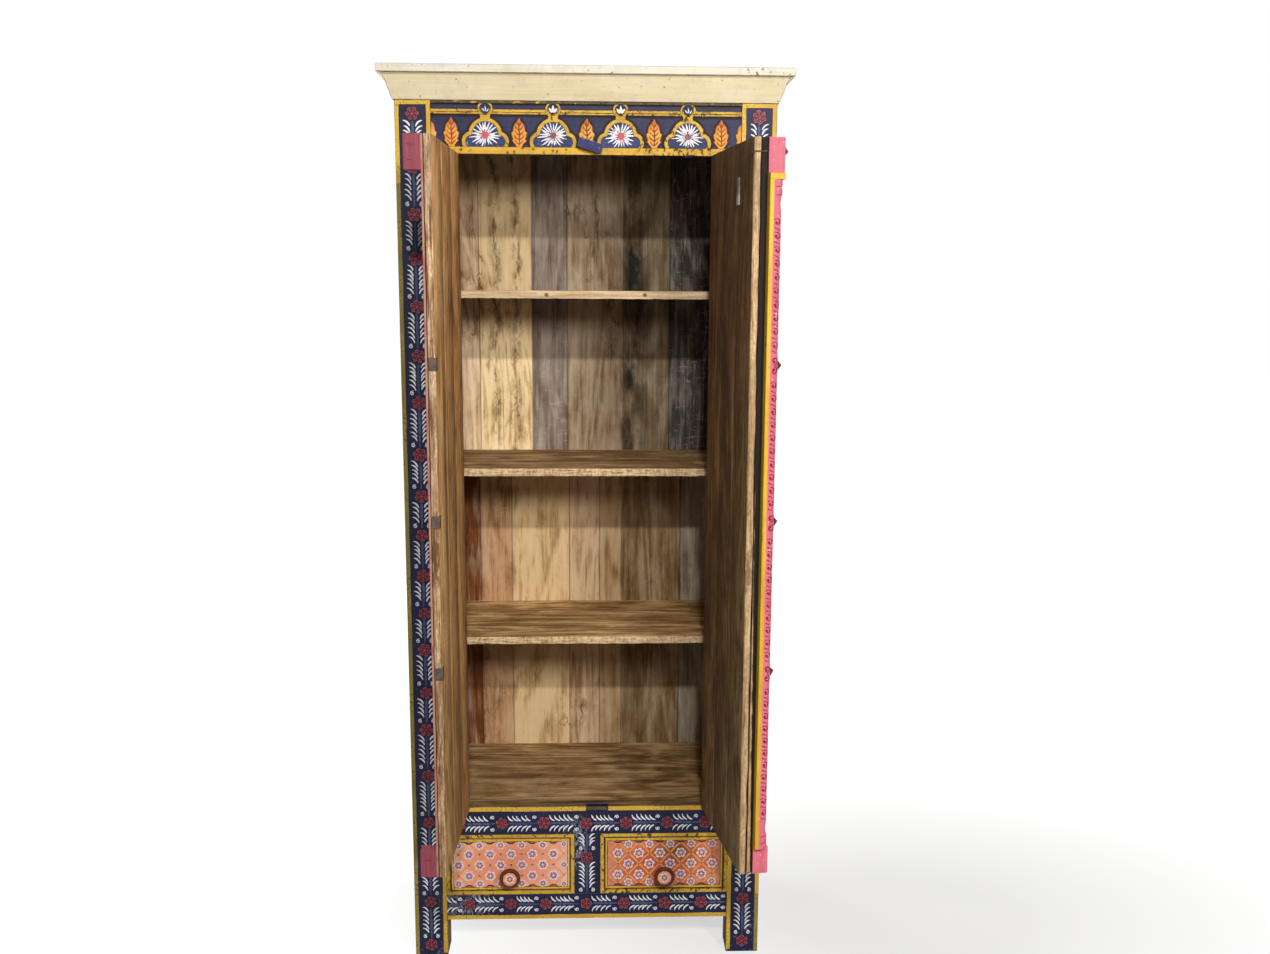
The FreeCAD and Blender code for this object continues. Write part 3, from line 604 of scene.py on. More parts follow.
# An ink's slot, and its material's name, colour, shade, ground, seed, wear and gloss.
INKS = {
    "white": ("cream_paint", "white_strokes", "fafafc", "dcdee8", "4a4e6a", 22, 0.15),
    "bright": ("cream_paint", "white_strokes_bright", "f2ece8", "ded0d0", "ce968a", 23, 0.2),
    "maroon": ("maroon_paint", "maroon_strokes", "802a32", "581e28", "281c30", 24, 0.3),
    "pink": ("pink_paint", "pink_strokes", "b0646c", "804654", "3c263a", 25, 0.5),
    "rose": ("pink_paint", "rose_strokes", "d6606a", "b84c58", "6e506e", 26, 0.25),
    "stem": ("blue_paint", "slate_strokes", "546082", "364064", NAVY, 27, 0.45),
    "yellow": ("yellow_paint", "yellow_border_strokes", YELLOW, "c89c36", "807038", 28, 0.35),
    "olive": ("yellow_paint", "olive_border_strokes", "ac9648", "84763a", "545032", 29, 0.4),
    "pale": ("yellow_paint", "faded_border_strokes", "e8c87a", "d6b060", "ce9e70", 39, 0.4),
    "lattice": ("orange_paint", "lattice_strokes", "eeac5c", "e4924e", "dc8a68", 30, 0.35),
    "blush": ("orange_paint", "faded_lattice_strokes", "f0ac6e", "e89a62", "e8967a", 46, 0.5),
    "lilac": ("pink_paint", "lilac_strokes", "d8a4ac", "c28698", "ce7a6c", 31, 0.25),
    "dark": ("maroon_paint", "dark_strokes", "562428", "3e1c1e", "7c4034", 32, 0.2),
    # The shade ink paints dark outlines, and also painted shade round the frieze's relief and in the gap round each
    # drawer.
    "shade": ("maroon_paint", "outline_and_shade_strokes", "261a22", "161018", "302a42", 40, 0.3, 0.6),
    "vein": ("orange_paint", "vein_strokes", "9e4222", "78301e", "c87836", 33, 0.2),
    "red": ("maroon_paint", "red_swirl_strokes", "961a34", "78142a", "be465c", 34, 0.15),
}
materials = {look: material for look, (material, names) in LOOKS.items()}
materials.update({ink + "_ink": stroke_paint(*row) for ink, (slot, *row) in INKS.items()})
for material, names in LOOKS.values():
    for name in names.split():
        nodes[name].data.materials.clear()
        nodes[name].data.materials.append(material)


# Places on the part, in millimetres.
def point(x, y, z):
    return Vector((x, y, z)) * MM


def on_front(depth=0):
    return lambda u, v, h: point(u, FRONT + depth - h, v)


def on_leaf(side, depth):
    at = leaf(side)
    return lambda u, v, h: at(u, depth - h, v)


def on_lead(side):
    at = leaf(side)
    return lambda a, b, h: at(LEAF_W + h, a, b)


def turned(place, x, z, angle):
    """The place's own frame, moved to (x, z) and turned by the angle."""
    c, s = cos(angle), sin(angle)
    return lambda u, v, h: place(x + c * u - s * v, z + s * u + c * v, h)


def angles(count):
    return [2 * pi * i / count for i in range(count)]


def out_along(place, reach, angle):
    return turned(place, reach * cos(angle), reach * sin(angle), angle)


def wander(a, b, c=0):
    """Smooth random level from 0 to 1."""
    return 0.5 + 0.5 * noise.noise(Vector((a, b, c + 0.37)))


# Mesh pieces.
def loft(bm, rings):
    """A closed skin over the rings, capped at both ends."""
    loops = [[bm.verts.new(p) for p in ring] for ring in rings]
    for a, b in zip(loops, loops[1:]):
        for i in range(len(a)):
            j = (i + 1) % len(a)
            bm.faces.new((a[i], a[j], b[j], b[i]))
    bm.faces.new(loops[0])
    bm.faces.new(loops[-1][::-1])


def add_lofts(name, lofts, *details):
    bm = bmesh.new()
    for rings in lofts:
        loft(bm, rings)
    add_piece(name, bm, *details)


def add_piece(name, bm, body, look, slot, replaces=None, crease=None):
    mesh = bpy.data.meshes.new(name)
    bmesh.ops.recalc_face_normals(bm, faces=bm.faces)
    bm.to_mesh(mesh)
    bm.free()
    if crease is not None:
        for face in mesh.polygons:
            face.use_smooth = True
        mesh.set_sharp_from_angle(angle=radians(crease))
    piece = bpy.data.objects.new(name, mesh)
    scene.collection.objects.link(piece)
    mesh.materials.append(materials[look])
    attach(piece, body)
    if replaces is not None:
        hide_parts(replaces)


def shelf_board(name):
    low, high = (corner * 1000 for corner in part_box(name))
    steps = 64
    marks = [low.x + (high.x - low.x) * i / steps for i in range(steps + 1)]
    marks = sorted(marks + [-REAR_IN - 0.1, -REAR_IN + 0.1, REAR_IN - 0.1, REAR_IN + 0.1])
    rows = 5
    rings = []
    for x in marks:
        back = high.y if abs(x) < REAR_IN else FRONT + REAR_FRONT
        foot = low.z + 2.8 * max(0, wander(0.07 * x, high.z) - 0.42)
        head = high.z - 0.8 * wander(0.05 * x, high.z, 5)
        ring = [(back, low.z), (low.y + 6, low.z)]
        for i in range(rows):
            t = i / (rows - 1)
            dent = 1.5 * wander(0.06 * x, 0.4 * i, high.z) + (0.7 if i in (0, rows - 1) else 0)
            ring.append((low.y + dent, foot + (head - foot) * t))
        ring += [(low.y + 5, high.z), (back, high.z)]
        rings.append([point(x, y, z) for y, z in ring])
    look = "shelf_upper" if name == "shelf_3" else "shelf"
    add_lofts(name + "_board", [rings], "carcass", look, "shelf_wood", name, 40)


def door_boards(side):
    at = leaf(side)
    front, back = PLANK_FRONT[side], PLANK_BACK[side]
    wave, round_r = (1.4, 2.4) if side == "left" else (2.6, 7)
    boards, steps, gap = 3, 116, 0.2
    lofts = []
    for k in range(boards):
        u0, u1 = k * LEAF_W / boards + gap, (k + 1) * LEAF_W / boards - gap
        lead = k == boards - 1
        rings = []
        for i in range(steps + 1):
            z = DOOR_Z0 + (DOOR_Z1 - DOOR_Z0) * i / steps
            a = u0 + 0.8 * wander(0.012 * z, k, 1)
            b = u1 - 0.8 * wander(0.012 * z, k, 2)
            r = 0.7
            if lead:
                b = u1 - wave * wander(0.016 * z, 3) - 0.45 * wave * wander(0.09 * z, 7)
                r = round_r * (0.7 + 0.6 * wander(0.02 * z, 9))
            face = back - 0.5 * wander(0.011 * z, k, 4)
            middle = back - 0.4 * wander(0.02 * z, k, 6)
            ring = [
                (a, front), (b - 0.9 * r, front), (b - 0.2 * r, front + 0.35 * r), (b, front + 0.7 * r),
                (b, face - r), (b - 0.1 * r, face - 0.55 * r), (b - 0.4 * r, face - 0.18 * r), (b - r, face),
                (0.5 * (a + b), middle), (a + 0.6, face), (a, face - 0.6),
            ]
            rings.append([at(u, v, z) for u, v in ring])
        lofts.append(rings)
    door = side + "_door"
    add_lofts(door + "_boards", lofts, door, side + "_plank", "door_plank_wood", door + "_planks", 50)


def tube(points, r):
    rings = []
    for i, p in enumerate(points):
        ahead = (points[min(i + 1, len(points) - 1)] - points[max(i - 1, 0)]).normalized()
        side = ahead.cross(Vector((0.1, 0.2, 1))).normalized()
        up = side.cross(ahead)
        rings.append([p + (side * cos(a) + up * sin(a)) * r * MM for a in angles(8)])
    return rings


def clench_wire():
    at = leaf("right")
    front, back, z = PLANK_FRONT["right"], PLANK_BACK["right"], WIRE_Z
    path = [
        (LEAF_W - 17, back + 0.6, z - 6), (LEAF_W - 9, back + 1, z - 2), (LEAF_W - 3.5, back - 1, z),
        (LEAF_W - 0.4, back - 6, z + 0.6), (LEAF_W - 0.2, front + 5, z + 0.4), (LEAF_W - 2, front + 0.5, z),
        (LEAF_W - 5.2, front - 3, z + 0.8), (LEAF_W - 5.2, front - 8, z + 1.5),
    ]
    add_lofts("right_door_wire", [tube([at(*p) for p in path], 1.5)], "right_door", "iron", "iron")


def column_collar():
    at = leaf("right")
    half, ease, proud = 20.5, 0.9, 1.6
    back, front = PANEL_FRONT["right"] - 0.1, proud
    rings = []
    low = PANEL_Z1 - COLLAR_H
    for z, inset in ((low, ease), (low + 1, 0), (PANEL_Z1 - 1.2, 0), (PANEL_Z1 - 0.2, ease)):
        a, b, f = COLUMN_U - half + inset, COLUMN_U + half - inset, front + inset
        ring = [(a, back), (a, f + ease), (a + ease, f), (b - ease, f), (b, f + ease), (b, back)]
        rings.append([at(u, v, z) for u, v in ring])
    add_lofts("right_door_collar", [rings], "right_door", "yellow_z", "yellow_paint", None, 30)


LEAF_H, LEAF_HALF, FRIEZE_PITCH, RELIEF = 57, 17.4, 626 / 4.6, 5
FRIEZE_BASE, HEART_RISE, ROUNDEL_Z, ROUNDEL_R = Z_FRIEZE + 14, 23, Z_CORNICE - 16.5, 9.6
LEAF_X = [(i - 2) * FRIEZE_PITCH for i in range(5)]


def leaf_half_width(t):
    body = sin(pi * (0.06 + 0.93 * t) ** 0.86) ** 0.8
    tooth = (3.4 * t + 0.2) % 1
    return LEAF_HALF * body * (0.78 + 0.22 * tooth)


def leaf_depth(across, half):
    """How far the carved leaf lies behind the frieze's face: rounded to its rim, with a groove along its middle."""
    off = min(1, abs(across) / half)
    return 0.25 + 2.4 * off ** 1.6 + 0.9 * exp(-(across / 1.6) ** 2)


def on_frieze_leaf(x):
    def place(u, v, h):
        half = max(0.7, leaf_half_width(v / LEAF_H))
        return point(x + u, FRONT + leaf_depth(u, half) - h, FRIEZE_BASE + v)

    return place


def frieze_leaves():
    lofts = []
    rows, columns = 30, 8
    end_x = HALF_OPEN + 5.4
    for x in [-end_x] + LEAF_X + [end_x]:
        rings = []
        for i in range(rows + 1):
            t = i / rows
            half = max(0.7, leaf_half_width(t))
            x0, x1 = max(x - half, -HALF_OPEN + 0.1), min(x + half, HALF_OPEN - 0.1)
            if x1 - x0 < 0.6:
                continue
            ring = []
            for k in range(columns + 1):
                a = x0 + (x1 - x0) * k / columns
                ring.append((a, leaf_depth(a - x, half)))
            ring += [(x1, RELIEF), (x0, RELIEF)]
            z = FRIEZE_BASE + 0.2 + t * (LEAF_H - 0.4)
            rings.append([point(a, FRONT + depth, z) for a, depth in ring])
        lofts.append(rings)
    add_lofts("carved_frieze_leaves", lofts, "carcass", "leaf", "orange_paint", "frieze_leaves", 45)


# Radius, and how far out.
KNOB_PROFILE = (
    (9.5, 0), (11, 0.6), (11, 1.8), (9, 3.4), (8.4, 6.5), (9.2, 10), (12.5, 13.2), (18, 15.6), (21.8, 17.8),
    (23, 20.6), (22.7, 23.4), (21.4, 25.4), (19.6, 26), (18, 25.4), (17, 24.2), (13, 24.4), (8, 24.9), (3, 25.2),
)
KNOB_FACE, INSET_R, INSET_FLOWER_R = 25, 15.4, 11


def knob(side):
    low, high = (corner * 1000 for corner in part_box(f"drawer_{side}_knob"))
    x, z, back = (low.x + high.x) / 2, (low.z + high.z) / 2, high.y
    rings = []
    for r, out in KNOB_PROFILE:
        ring = []
        for a in angles(40):
            wobble = 1 + 0.008 * sin(3 * a + out)
            ring.append(point(x + r * wobble * cos(a), back - out, z + r * wobble * sin(a)))
        rings.append(ring)
    add_lofts("turned_knob_" + side, [rings], "drawer_" + side, "maroon", "maroon_paint", f"drawer_{side}_knob", 60)
    kit = Kit("knob_" + side, "drawer_" + side)
    face = turned(lambda u, v, h: point(u, back - KNOB_FACE - h, v), x, z, 0.2)
    kit["blush"].lobed(face, 8, INSET_R, 0.06, 0.25)
    flower(kit, face, INSET_FLOWER_R)
    kit.done()


# Painted ornament: thin closed strokes laid on the solids.
class Strokes:
    sink = 0.08

    def __init__(self, name, body, look, slot):
        self.name, self.body, self.look, self.slot = name, body, look, slot
        self.bm = bmesh.new()

    def patch(self, place, outline, h):
        """A thin closed prism over the outline, h proud of the surface."""
        top = [self.bm.verts.new(place(u, v, h)) for u, v in outline]
        low = [self.bm.verts.new(place(u, v, -self.sink)) for u, v in outline]
        self.bm.faces.new(top)
        self.bm.faces.new(low[::-1])
        for i in range(len(top)):
            j = (i + 1) % len(top)
            self.bm.faces.new((top[j], top[i], low[i], low[j]))

    def ribbon(self, place, line, widths, h):
        left, right = [], []
        for i, (u, v) in enumerate(line):
            a, b = line[max(i - 1, 0)], line[min(i + 1, len(line) - 1)]
            du, dv = b[0] - a[0], b[1] - a[1]
            size = hypot(du, dv)
            w = widths[i] / 2
            left.append((u - dv / size * w, v + du / size * w))
            right.append((u + dv / size * w, v - du / size * w))
        self.patch(place, left + right[::-1], h)

    def comma(self, place, start, bend, end, width, h=0.4):
        """A brush stroke that swells in its middle."""
        count = 6
        line, widths = [], []
        for i in range(count + 1):
            t = i / count
            line.append(quadratic(start, bend, end, t))
            widths.append(width * (0.16 + 0.84 * sin(pi * min(1, 0.1 + 0.82 * t ** 0.8))))
        self.ribbon(place, line, widths, h)

    def disc(self, place, u, v, r, h, count=12):
        self.patch(place, [(u + r * cos(a), v + r * sin(a)) for a in angles(count)], h)

    def lobed(self, place, petals, r, depth, h):
        ring = []
        for a in angles(6 * petals):
            size = r * (1 - depth * (1 - abs(cos(petals * a / 2)) ** 0.7))
            ring.append((size * cos(a), size * sin(a)))
        self.patch(place, ring, h)

    def curl(self, place, u, v, r, hand, width, h=0.35, turns=1.1, start=0):
        count = 14
        line = []
        for i in range(count + 1):
            t = i / count
            a = start + hand * 2 * pi * turns * t
            size = r * (1 - 0.72 * t)
            line.append((u + size * cos(a), v + size * sin(a)))
        widths = [width * (0.5 + 0.5 * sin(pi * (0.12 + 0.8 * i / count))) for i in range(count + 1)]
        self.ribbon(place, line, widths, h)
        self.disc(place, line[-1][0], line[-1][1], 1.15 * width, h + 0.08, 8)

    def border(self, place, start, end, low, high, h=0.45, step=24, shake=0.5, upright=True):
        count = max(2, int(abs(end - start) / step))
        marks = [start + (end - start) * i / count for i in range(count + 1)]
        inner = [(low + rng.uniform(-shake, shake), m) for m in marks]
        outer = [(high + rng.uniform(-shake, shake), m) for m in marks]
        ring = inner + outer[::-1]
        if not upright:
            ring = [(b, a) for a, b in ring]
        self.patch(place, ring, h)

    def done(self):
        add_piece(self.name, self.bm, self.body, self.look, self.slot)


def quadratic(start, bend, end, t):
    return tuple((1 - t) ** 2 * a + 2 * t * (1 - t) * b + t * t * c for a, b, c in zip(start, bend, end))


class Kit:
    """The inks that one painted region uses, made when first asked for."""

    def __init__(self, region, body):
        self.region, self.body, self.made = region, body, {}

    def __getitem__(self, colour):
        if colour not in self.made:
            name = f"{self.region}_{colour}_strokes"
            self.made[colour] = Strokes(name, self.body, colour + "_ink", INKS[colour][0])
        return self.made[colour]

    def done(self):
        for strokes in self.made.values():
            strokes.done()


LEAFLET_STEP, CURL_ROOM, SHORTEST_SPRAY = 9.8, 13, 22


def rosette(kit, place, x, z, r, petals):
    spot = turned(place, x, z, rng.uniform(0, pi))
    kit["shade"].lobed(spot, petals, 1.08 * r, 0.2, 0.3)
    kit["pink"].lobed(spot, petals, r, 0.3, 0.42)
    kit["maroon"].lobed(spot, petals, 0.84 * r, 0.34, 0.54)
    for a in angles(petals):
        petal = out_along(spot, 0.52 * r, a)
        streak = [(-0.2 * r, 0), (0, 0.03 * r), (0.22 * r, 0)]
        kit["pink"].ribbon(petal, streak, [0.05 * r, 0.15 * r, 0.05 * r], 0.64)
        gap = out_along(spot, 0.5 * r, a + pi / petals)
        kit["shade"].ribbon(gap, [(-0.2 * r, 0), (0.1 * r, 0), (0.3 * r, 0)], [0.04 * r, 0.1 * r, 0.05 * r], 0.62)
    kit["pink"].disc(spot, 0, 0, 0.17 * r, 0.68)


def spray(kit, place, start, end, half):
    """Stem along +v with strokes that sweep in to it from both sides, and a curl each side of its far end."""
    length = end - start
    stem = [(rng.uniform(-0.6, 0.6), start + length * i / 6) for i in range(7)]
    kit["stem"].ribbon(place, stem, [3.6, 5.4, 5.8, 5.4, 4.8, 3.8, 2.4], 0.3)
    pairs = max(2, round((length - CURL_ROOM) / LEAFLET_STEP))
    step = (length - CURL_ROOM) / pairs
    for i in range(pairs):
        for sign in (-1, 1):
            v = start - 2 + step * i + rng.uniform(-0.8, 0.8)
            reach, drop = half * rng.uniform(0.9, 1.04), rng.uniform(10.5, 13)
            outer, bend, inner = (sign * reach, v), (sign * reach * 0.52, v + 0.8), (sign * 5.8, v + drop)
            kit["white"].comma(place, inner, bend, outer, rng.uniform(3.1, 3.9))
    for sign in (-1, 1):
        kit["white"].curl(place, sign * half * 0.7, end - 5.5, 5, sign, 1.7, start=-pi / 2 - sign * pi / 6)


def chain(kit, place, marks, r, half, first, last):
    """Rosettes at the marks along +v with sprays between; first and last are where the painted run ends."""
    for m in marks:
        rosette(kit, place, rng.uniform(-1, 1), m, r * rng.uniform(0.94, 1.06), rng.choice((5, 6, 6)))
    ends = [first] + list(marks) + [last]
    for a, b in zip(ends, ends[1:]):
        start = a + (0 if a == first else r + 1)
        stop = b - (0 if b == last else r + 1)
        if stop - start > SHORTEST_SPRAY:
            spray(kit, place, start, stop, half)


ROSE_R, RUN_END, NOTCH, MID_CHAIN_Z, BOTTOM_CHAIN_Z = 14, 311, (-4, 46), 313, 121
MID_ROSES = (-282, -189, -96, -3, 86, 177, 262)
BOTTOM_ROSES = (-263, -171, -93, -3, 82, 173, 255)
POST_ROSES = (-232,)
# Below this height a stile's outer border is a darker olive yellow.
OLIVE_TOP = {"left": 1690, "right": 140}
STILE_ROSES = (26, 129, 222, 317, 426, 532, 616, 712, 793, 876, 964, 1048, 1136, 1245, 1342, 1443, 1540, 1628, 1722,
               1826)


def paint_stile(side):
    sign = SIDE[side]
    kit = Kit("stile_" + side, "carcass")
    place = on_front()
    outer, inner = sign * HALF_W, sign * HALF_OPEN
    kit["olive"].border(place, 2, OLIVE_TOP[side], outer - sign * 0.8, outer - sign * BORDER)
    kit["yellow"].border(place, OLIVE_TOP[side], Z_CORNICE - 1, outer - sign * 0.8, outer - sign * BORDER)
    kit["yellow"].border(place, 6, Z_CORNICE - 1, inner + sign * 0.4, inner + sign * BORDER)
    top = sorted((outer - sign * BORDER, inner + sign * BORDER))
    kit["yellow"].border(place, top[0], top[1], Z_CORNICE - 9, Z_CORNICE - 1, upright=False, step=14)
    downward = turned(place, (outer + inner) / 2, 0, pi)
    chain(kit, downward, [-z for z in reversed(STILE_ROSES)], ROSE_R, 19, -Z_CORNICE + 10, -3)
    kit.done()


def paint_rails():
    place = on_front()
    kit = Kit("mid_rail", "carcass")
    for a, b in ((-HALF_OPEN + 1, NOTCH[0]), (NOTCH[1], HALF_OPEN - 1)):
        kit["yellow"].border(place, a, b, Z_DOOR - 10.5, Z_DOOR - 0.5, upright=False)
    chain(kit, turned(place, 0, MID_CHAIN_Z, -pi / 2), MID_ROSES, ROSE_R, 19.5, -RUN_END, RUN_END)
    kit.done()
    kit = Kit("bottom_rail", "carcass")
    kit["yellow"].border(place, -HALF_OPEN + 1, HALF_OPEN - 1, Z_RAIL + 0.5, Z_RAIL + 9.5, upright=False)
    chain(kit, turned(place, 0, BOTTOM_CHAIN_Z, -pi / 2), BOTTOM_ROSES, ROSE_R, 18.5, -RUN_END, RUN_END)
    kit.done()
    kit = Kit("drawer_post", "carcass")
    chain(kit, turned(place, -1, 0, pi), POST_ROSES, ROSE_R, 18.5, -Z_MID + 2, -Z_DRAWER - 3)
    kit.done()


def paint_frieze():
    kit = Kit("frieze", "carcass")
    ground, field, face = on_front(RELIEF), on_front(2), on_front(0)
    arch_top, cusp_z = ROUNDEL_Z - 16.5 - 34, FRIEZE_BASE + 10
    # Offset, height, radius and thickness of the painted shade round each lobe of an arch.
    lobes = ((0, arch_top, 39.5, 0.2), (-28, cusp_z, 25, 0.26), (28, cusp_z, 25, 0.32))
    # Ring, petals, inner end, shortest and longest reach.
    petal_rings = ((0, 21, 10.5, 22, 28.5), (1, 15, 6, 13, 19))
    arch_x = [(i - 1.5) * FRIEZE_PITCH for i in range(4)]
    for i, x in enumerate(arch_x):
        for dx, z, r, h in lobes:
            kit["shade"].disc(ground, x + dx, z, r, h, 40)
        heart = turned(field, x + rng.uniform(-1, 1), FRIEZE_BASE + HEART_RISE, rng.uniform(-0.1, 0.1))
        kit["pink" if i % 2 else "rose"].lobed(heart, 7, 5.6 if i % 2 else 8.4, 0.3, 0.72)
        for ring, count, start, low, high in petal_rings:
            for k in range(count):
                a = 2 * pi * (k + 0.5 * ring + rng.uniform(-0.25, 0.25)) / count
                spoke = turned(heart, 0, 0, a)
                reach = rng.uniform(low, high) * (1 - 0.26 * max(0, -sin(a)) + 0.22 * abs(cos(a)))
                sway = rng.uniform(-1.8, 1.8)
                ink = kit["bright" if ring else "white"]
                ink.comma(spoke, (start, 0), (0.6 * reach, sway), (reach, 0), rng.uniform(2, 3.6), 0.4 + 0.15 * ring)
        kit["shade"].disc(face, x, ROUNDEL_Z, ROUNDEL_R, 0.25, 24)
        for a, size in ((-0.7, 11), (0.7, 11), (0, 14)):
            bud = turned(face, x + 1.5 * sin(-a), ROUNDEL_Z - 6, a)
            whole = i in (1, 2)
            ink = kit["bright" if whole else "stem"]
            ink.comma(bud, (0, 0.5), (0.5, 0.5 * size), (0, size), 5.4, 0.4 + 0.1 * (a == 0))
            if not whole:
                kit["white"].comma(bud, (1, 2), (1.2, 0.4 * size), (0.6, 0.8 * size), 1.8, 0.6)
    for x in LEAF_X:
        # A dark patch a little wider than each leaf, on the ground behind it: painted shade round the carving.
        rim = [(leaf_half_width(k / 20) + 3, k / 20 * (LEAF_H + 3)) for k in range(1, 20)]
        outline = [(x + w, FRIEZE_BASE + v) for w, v in rim] + [(x - w, FRIEZE_BASE + v) for w, v in reversed(rim)]
        kit["shade"].patch(ground, outline, 0.38)
        skin = on_frieze_leaf(x)
        for hand in (-1, 1):
            rim = [(hand * (leaf_half_width(k / 22) - 1), k / 22 * LEAF_H) for k in range(1, 22)]
            kit["dark" if hand > 0 else "vein"].ribbon(skin, rim, [rng.uniform(0.8, 2 + hand) for _ in rim], 0.4)
            for k in range(5):
                v = 5 + 9 * k
                out = 0.68 * leaf_half_width((v + 9) / LEAF_H)
                kit["vein"].comma(skin, (0, v), (hand * 0.5 * out, v + 2.5), (hand * out, v + 9), 2.6, 0.5)
        kit["vein"].ribbon(skin, [(0, 3), (0.6, 14), (0.5, 26), (-0.4, 38), (0, 52)], [1, 2.6, 3, 2.4, 0.8], 0.6)
    # A thin dark line along the middle of the lower band: painted shade of a groove.
    stops = [-HALF_OPEN - 12] + arch_x + [HALF_OPEN + 12]
    for a, b in zip(stops, stops[1:]):
        kit["shade"].border(face, a + 14, b - 14, Z_CORNICE - 23.4, Z_CORNICE - 22.2, 0.2, 8, 0.5, False)
    # Dark lines on the ground along the bands' edges: painted shade under their relief.
    for z in (Z_CORNICE - 16.9, Z_CORNICE - 5.7, Z_CORNICE - 29):
        kit["shade"].border(ground, -HALF_OPEN + 1, HALF_OPEN - 1, z - 2.6, z + 1.4, 0.5, 12, 0.8, False)
    kit.done()


def flower(kit, spot, r):
    kit["bright"].lobed(spot, 6, r, 0.34, 0.4)
    kit["lilac"].lobed(spot, 6, 0.72 * r, 0.3, 0.55)
    for a in angles(6):
        kit["dark"].disc(spot, 0.46 * r * cos(a + 0.3), 0.46 * r * sin(a + 0.3), 0.14 * r, 0.7, 7)
    kit["bright"].disc(spot, 0, 0, 0.16 * r, 0.7, 8)


FLOWER_PITCH, FLOWER_RISE, FLOWER_MID, KNOB_Z = 46.8, 25.5, 214, 193
FLOWER_START = {"left": -263, "right": 68}


def paint_drawer(side):
    kit = Kit("drawer_" + side, "drawer_" + side)
    low, high = (corner * 1000 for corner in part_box(f"drawer_{side}_front"))
    place = on_front(2)
    rim = "pale" if side == "left" else "yellow"
    # Along all four edges the shade line is painted shade in the gap round the drawer.
    for z, inward, depth in ((low.z, 1, 6.5), (high.z, -1, 7.5)):
        # Ink, cut at both ends, near and far edge, thickness and shake.
        lines = (("shade", 0.3, 0.3, 1.9, 0.3, 0.2), ("yellow", 1.9, 2, depth, 0.45, 0.5),
                 ("dark", 6, depth, depth + 1.5, 0.3, 0.3))
        for ink, cut, near, far, h, shake in lines:
            a, b = z + inward * near, z + inward * far
            kit[ink].border(place, low.x + cut, high.x - cut, a, b, h, 18, shake, False)
    # Ink, cut at the foot and the head, near and far edge, thickness and shake.
    lines = (("shade", 1.9, 1.9, 0.3, 1.9, 0.3, 0.2), (rim, 6, 7, 2, 5.4, 0.45, 0.5),
             ("dark", 8, 9, 5.4, 6.6, 0.3, 0.3))
    for x, inward in ((low.x, 1), (high.x, -1)):
        for ink, foot, head, near, far, h, shake in lines:
            a, b = x + inward * near, x + inward * far
            kit[ink].border(place, low.z + foot, high.z - head, a, b, h, 18, shake)
    x0, x1, z0, z1 = low.x + 6.8, high.x - 6.8, low.z + 8, high.z - 9
    knob_x = (low.x + high.x) / 2
    trellis = kit["blush" if side == "left" else "lattice"]

    def inside(u, v, margin):
        return x0 + margin < u < x1 - margin and z0 + margin < v < z1 - margin

    for row in range(-2, 3):
        z = FLOWER_MID + row * FLOWER_RISE
        for col in range(-1, 6):
            x = FLOWER_START[side] + (col + (0 if row % 2 else 0.5)) * FLOWER_PITCH
            for du in (-1, 1):
                ends = ((x + du * FLOWER_PITCH / 2, z), (x + du * FLOWER_PITCH * 0.3, z + 0.52 * FLOWER_RISE),
                        (x, z + FLOWER_RISE))
                line = [quadratic(*ends, k / 8) for k in range(9)]
                line = [p for p in line if inside(p[0], p[1], 2)]
                if len(line) > 2:
                    trellis.ribbon(place, line, [rng.uniform(2.6, 4.2) for _ in line], 0.25)
            r = min(12.2, x - x0 + 2, x1 - x + 2)
            if r < 7 or hypot(x - knob_x, z - KNOB_Z) < 18:
                continue
            spot = turned(place, x, max(z0 + 0.62 * r, min(z1 - 0.62 * r, z)), rng.uniform(-0.3, 0.3))
            flower(kit, spot, 0.8 * r if abs(row) == 2 else r)
    for inward, z in ((-1, z1), (1, z0)):
        for col in range(6):
            x = FLOWER_START[side] + col * FLOWER_PITCH
            if x0 + 10 < x < x1 - 10:
                tip = z + inward * 5
                bud = [(x - 11, z), (x, z + inward * 1.5), (x + 11, z), (x + 4, tip), (x - 4, tip)]
                kit["dark"].patch(place, bud, 0.3)
    kit.done()


def paint_door(side):
    kit = Kit(side + "_door_front", side + "_door")
    panel, frame_face = on_leaf(side, PLANK_FRONT[side]), on_leaf(side, PANEL_FRONT[side])
    left, right = HINGE_STILE, FRAME_LEAD[side] - LEAD_STILE
    lows = [PANEL_Z0] + [z + LEDGE_HALF for z in LEDGES]
    highs = [z - LEDGE_HALF for z in LEDGES] + [PANEL_Z1]
    for z0, z1 in zip(lows, highs):
        for a, b in ((left + 1, left + 7), (right - 7, right - 1)):
            kit["yellow"].border(panel, z0 + 1, z1 - 1, a, b)
        for a, b in ((z0 + 1, z0 + 7), (z1 - 7, z1 - 1)):
            kit["yellow"].border(panel, left + 7, right - 7, a, b, upright=False)
        middle = 0.5 * (z0 + z1)
        for du in (-62, 0, 62):
            marks = (-middle - 70, -middle + 70) if du else (-middle,)
            chain(kit, turned(panel, 0.5 * (left + right) + du, 0, pi), marks, 16, 22, -z1 + 12, -z0 - 12)
    for z in LEDGES + (0.5 * (DOOR_Z0 + PANEL_Z0), 0.5 * (DOOR_Z1 + PANEL_Z1)):
        chain(kit, turned(frame_face, 0, z, -pi / 2), (78, 153, 228), 12, 15, 48, 262)
    kit.done()


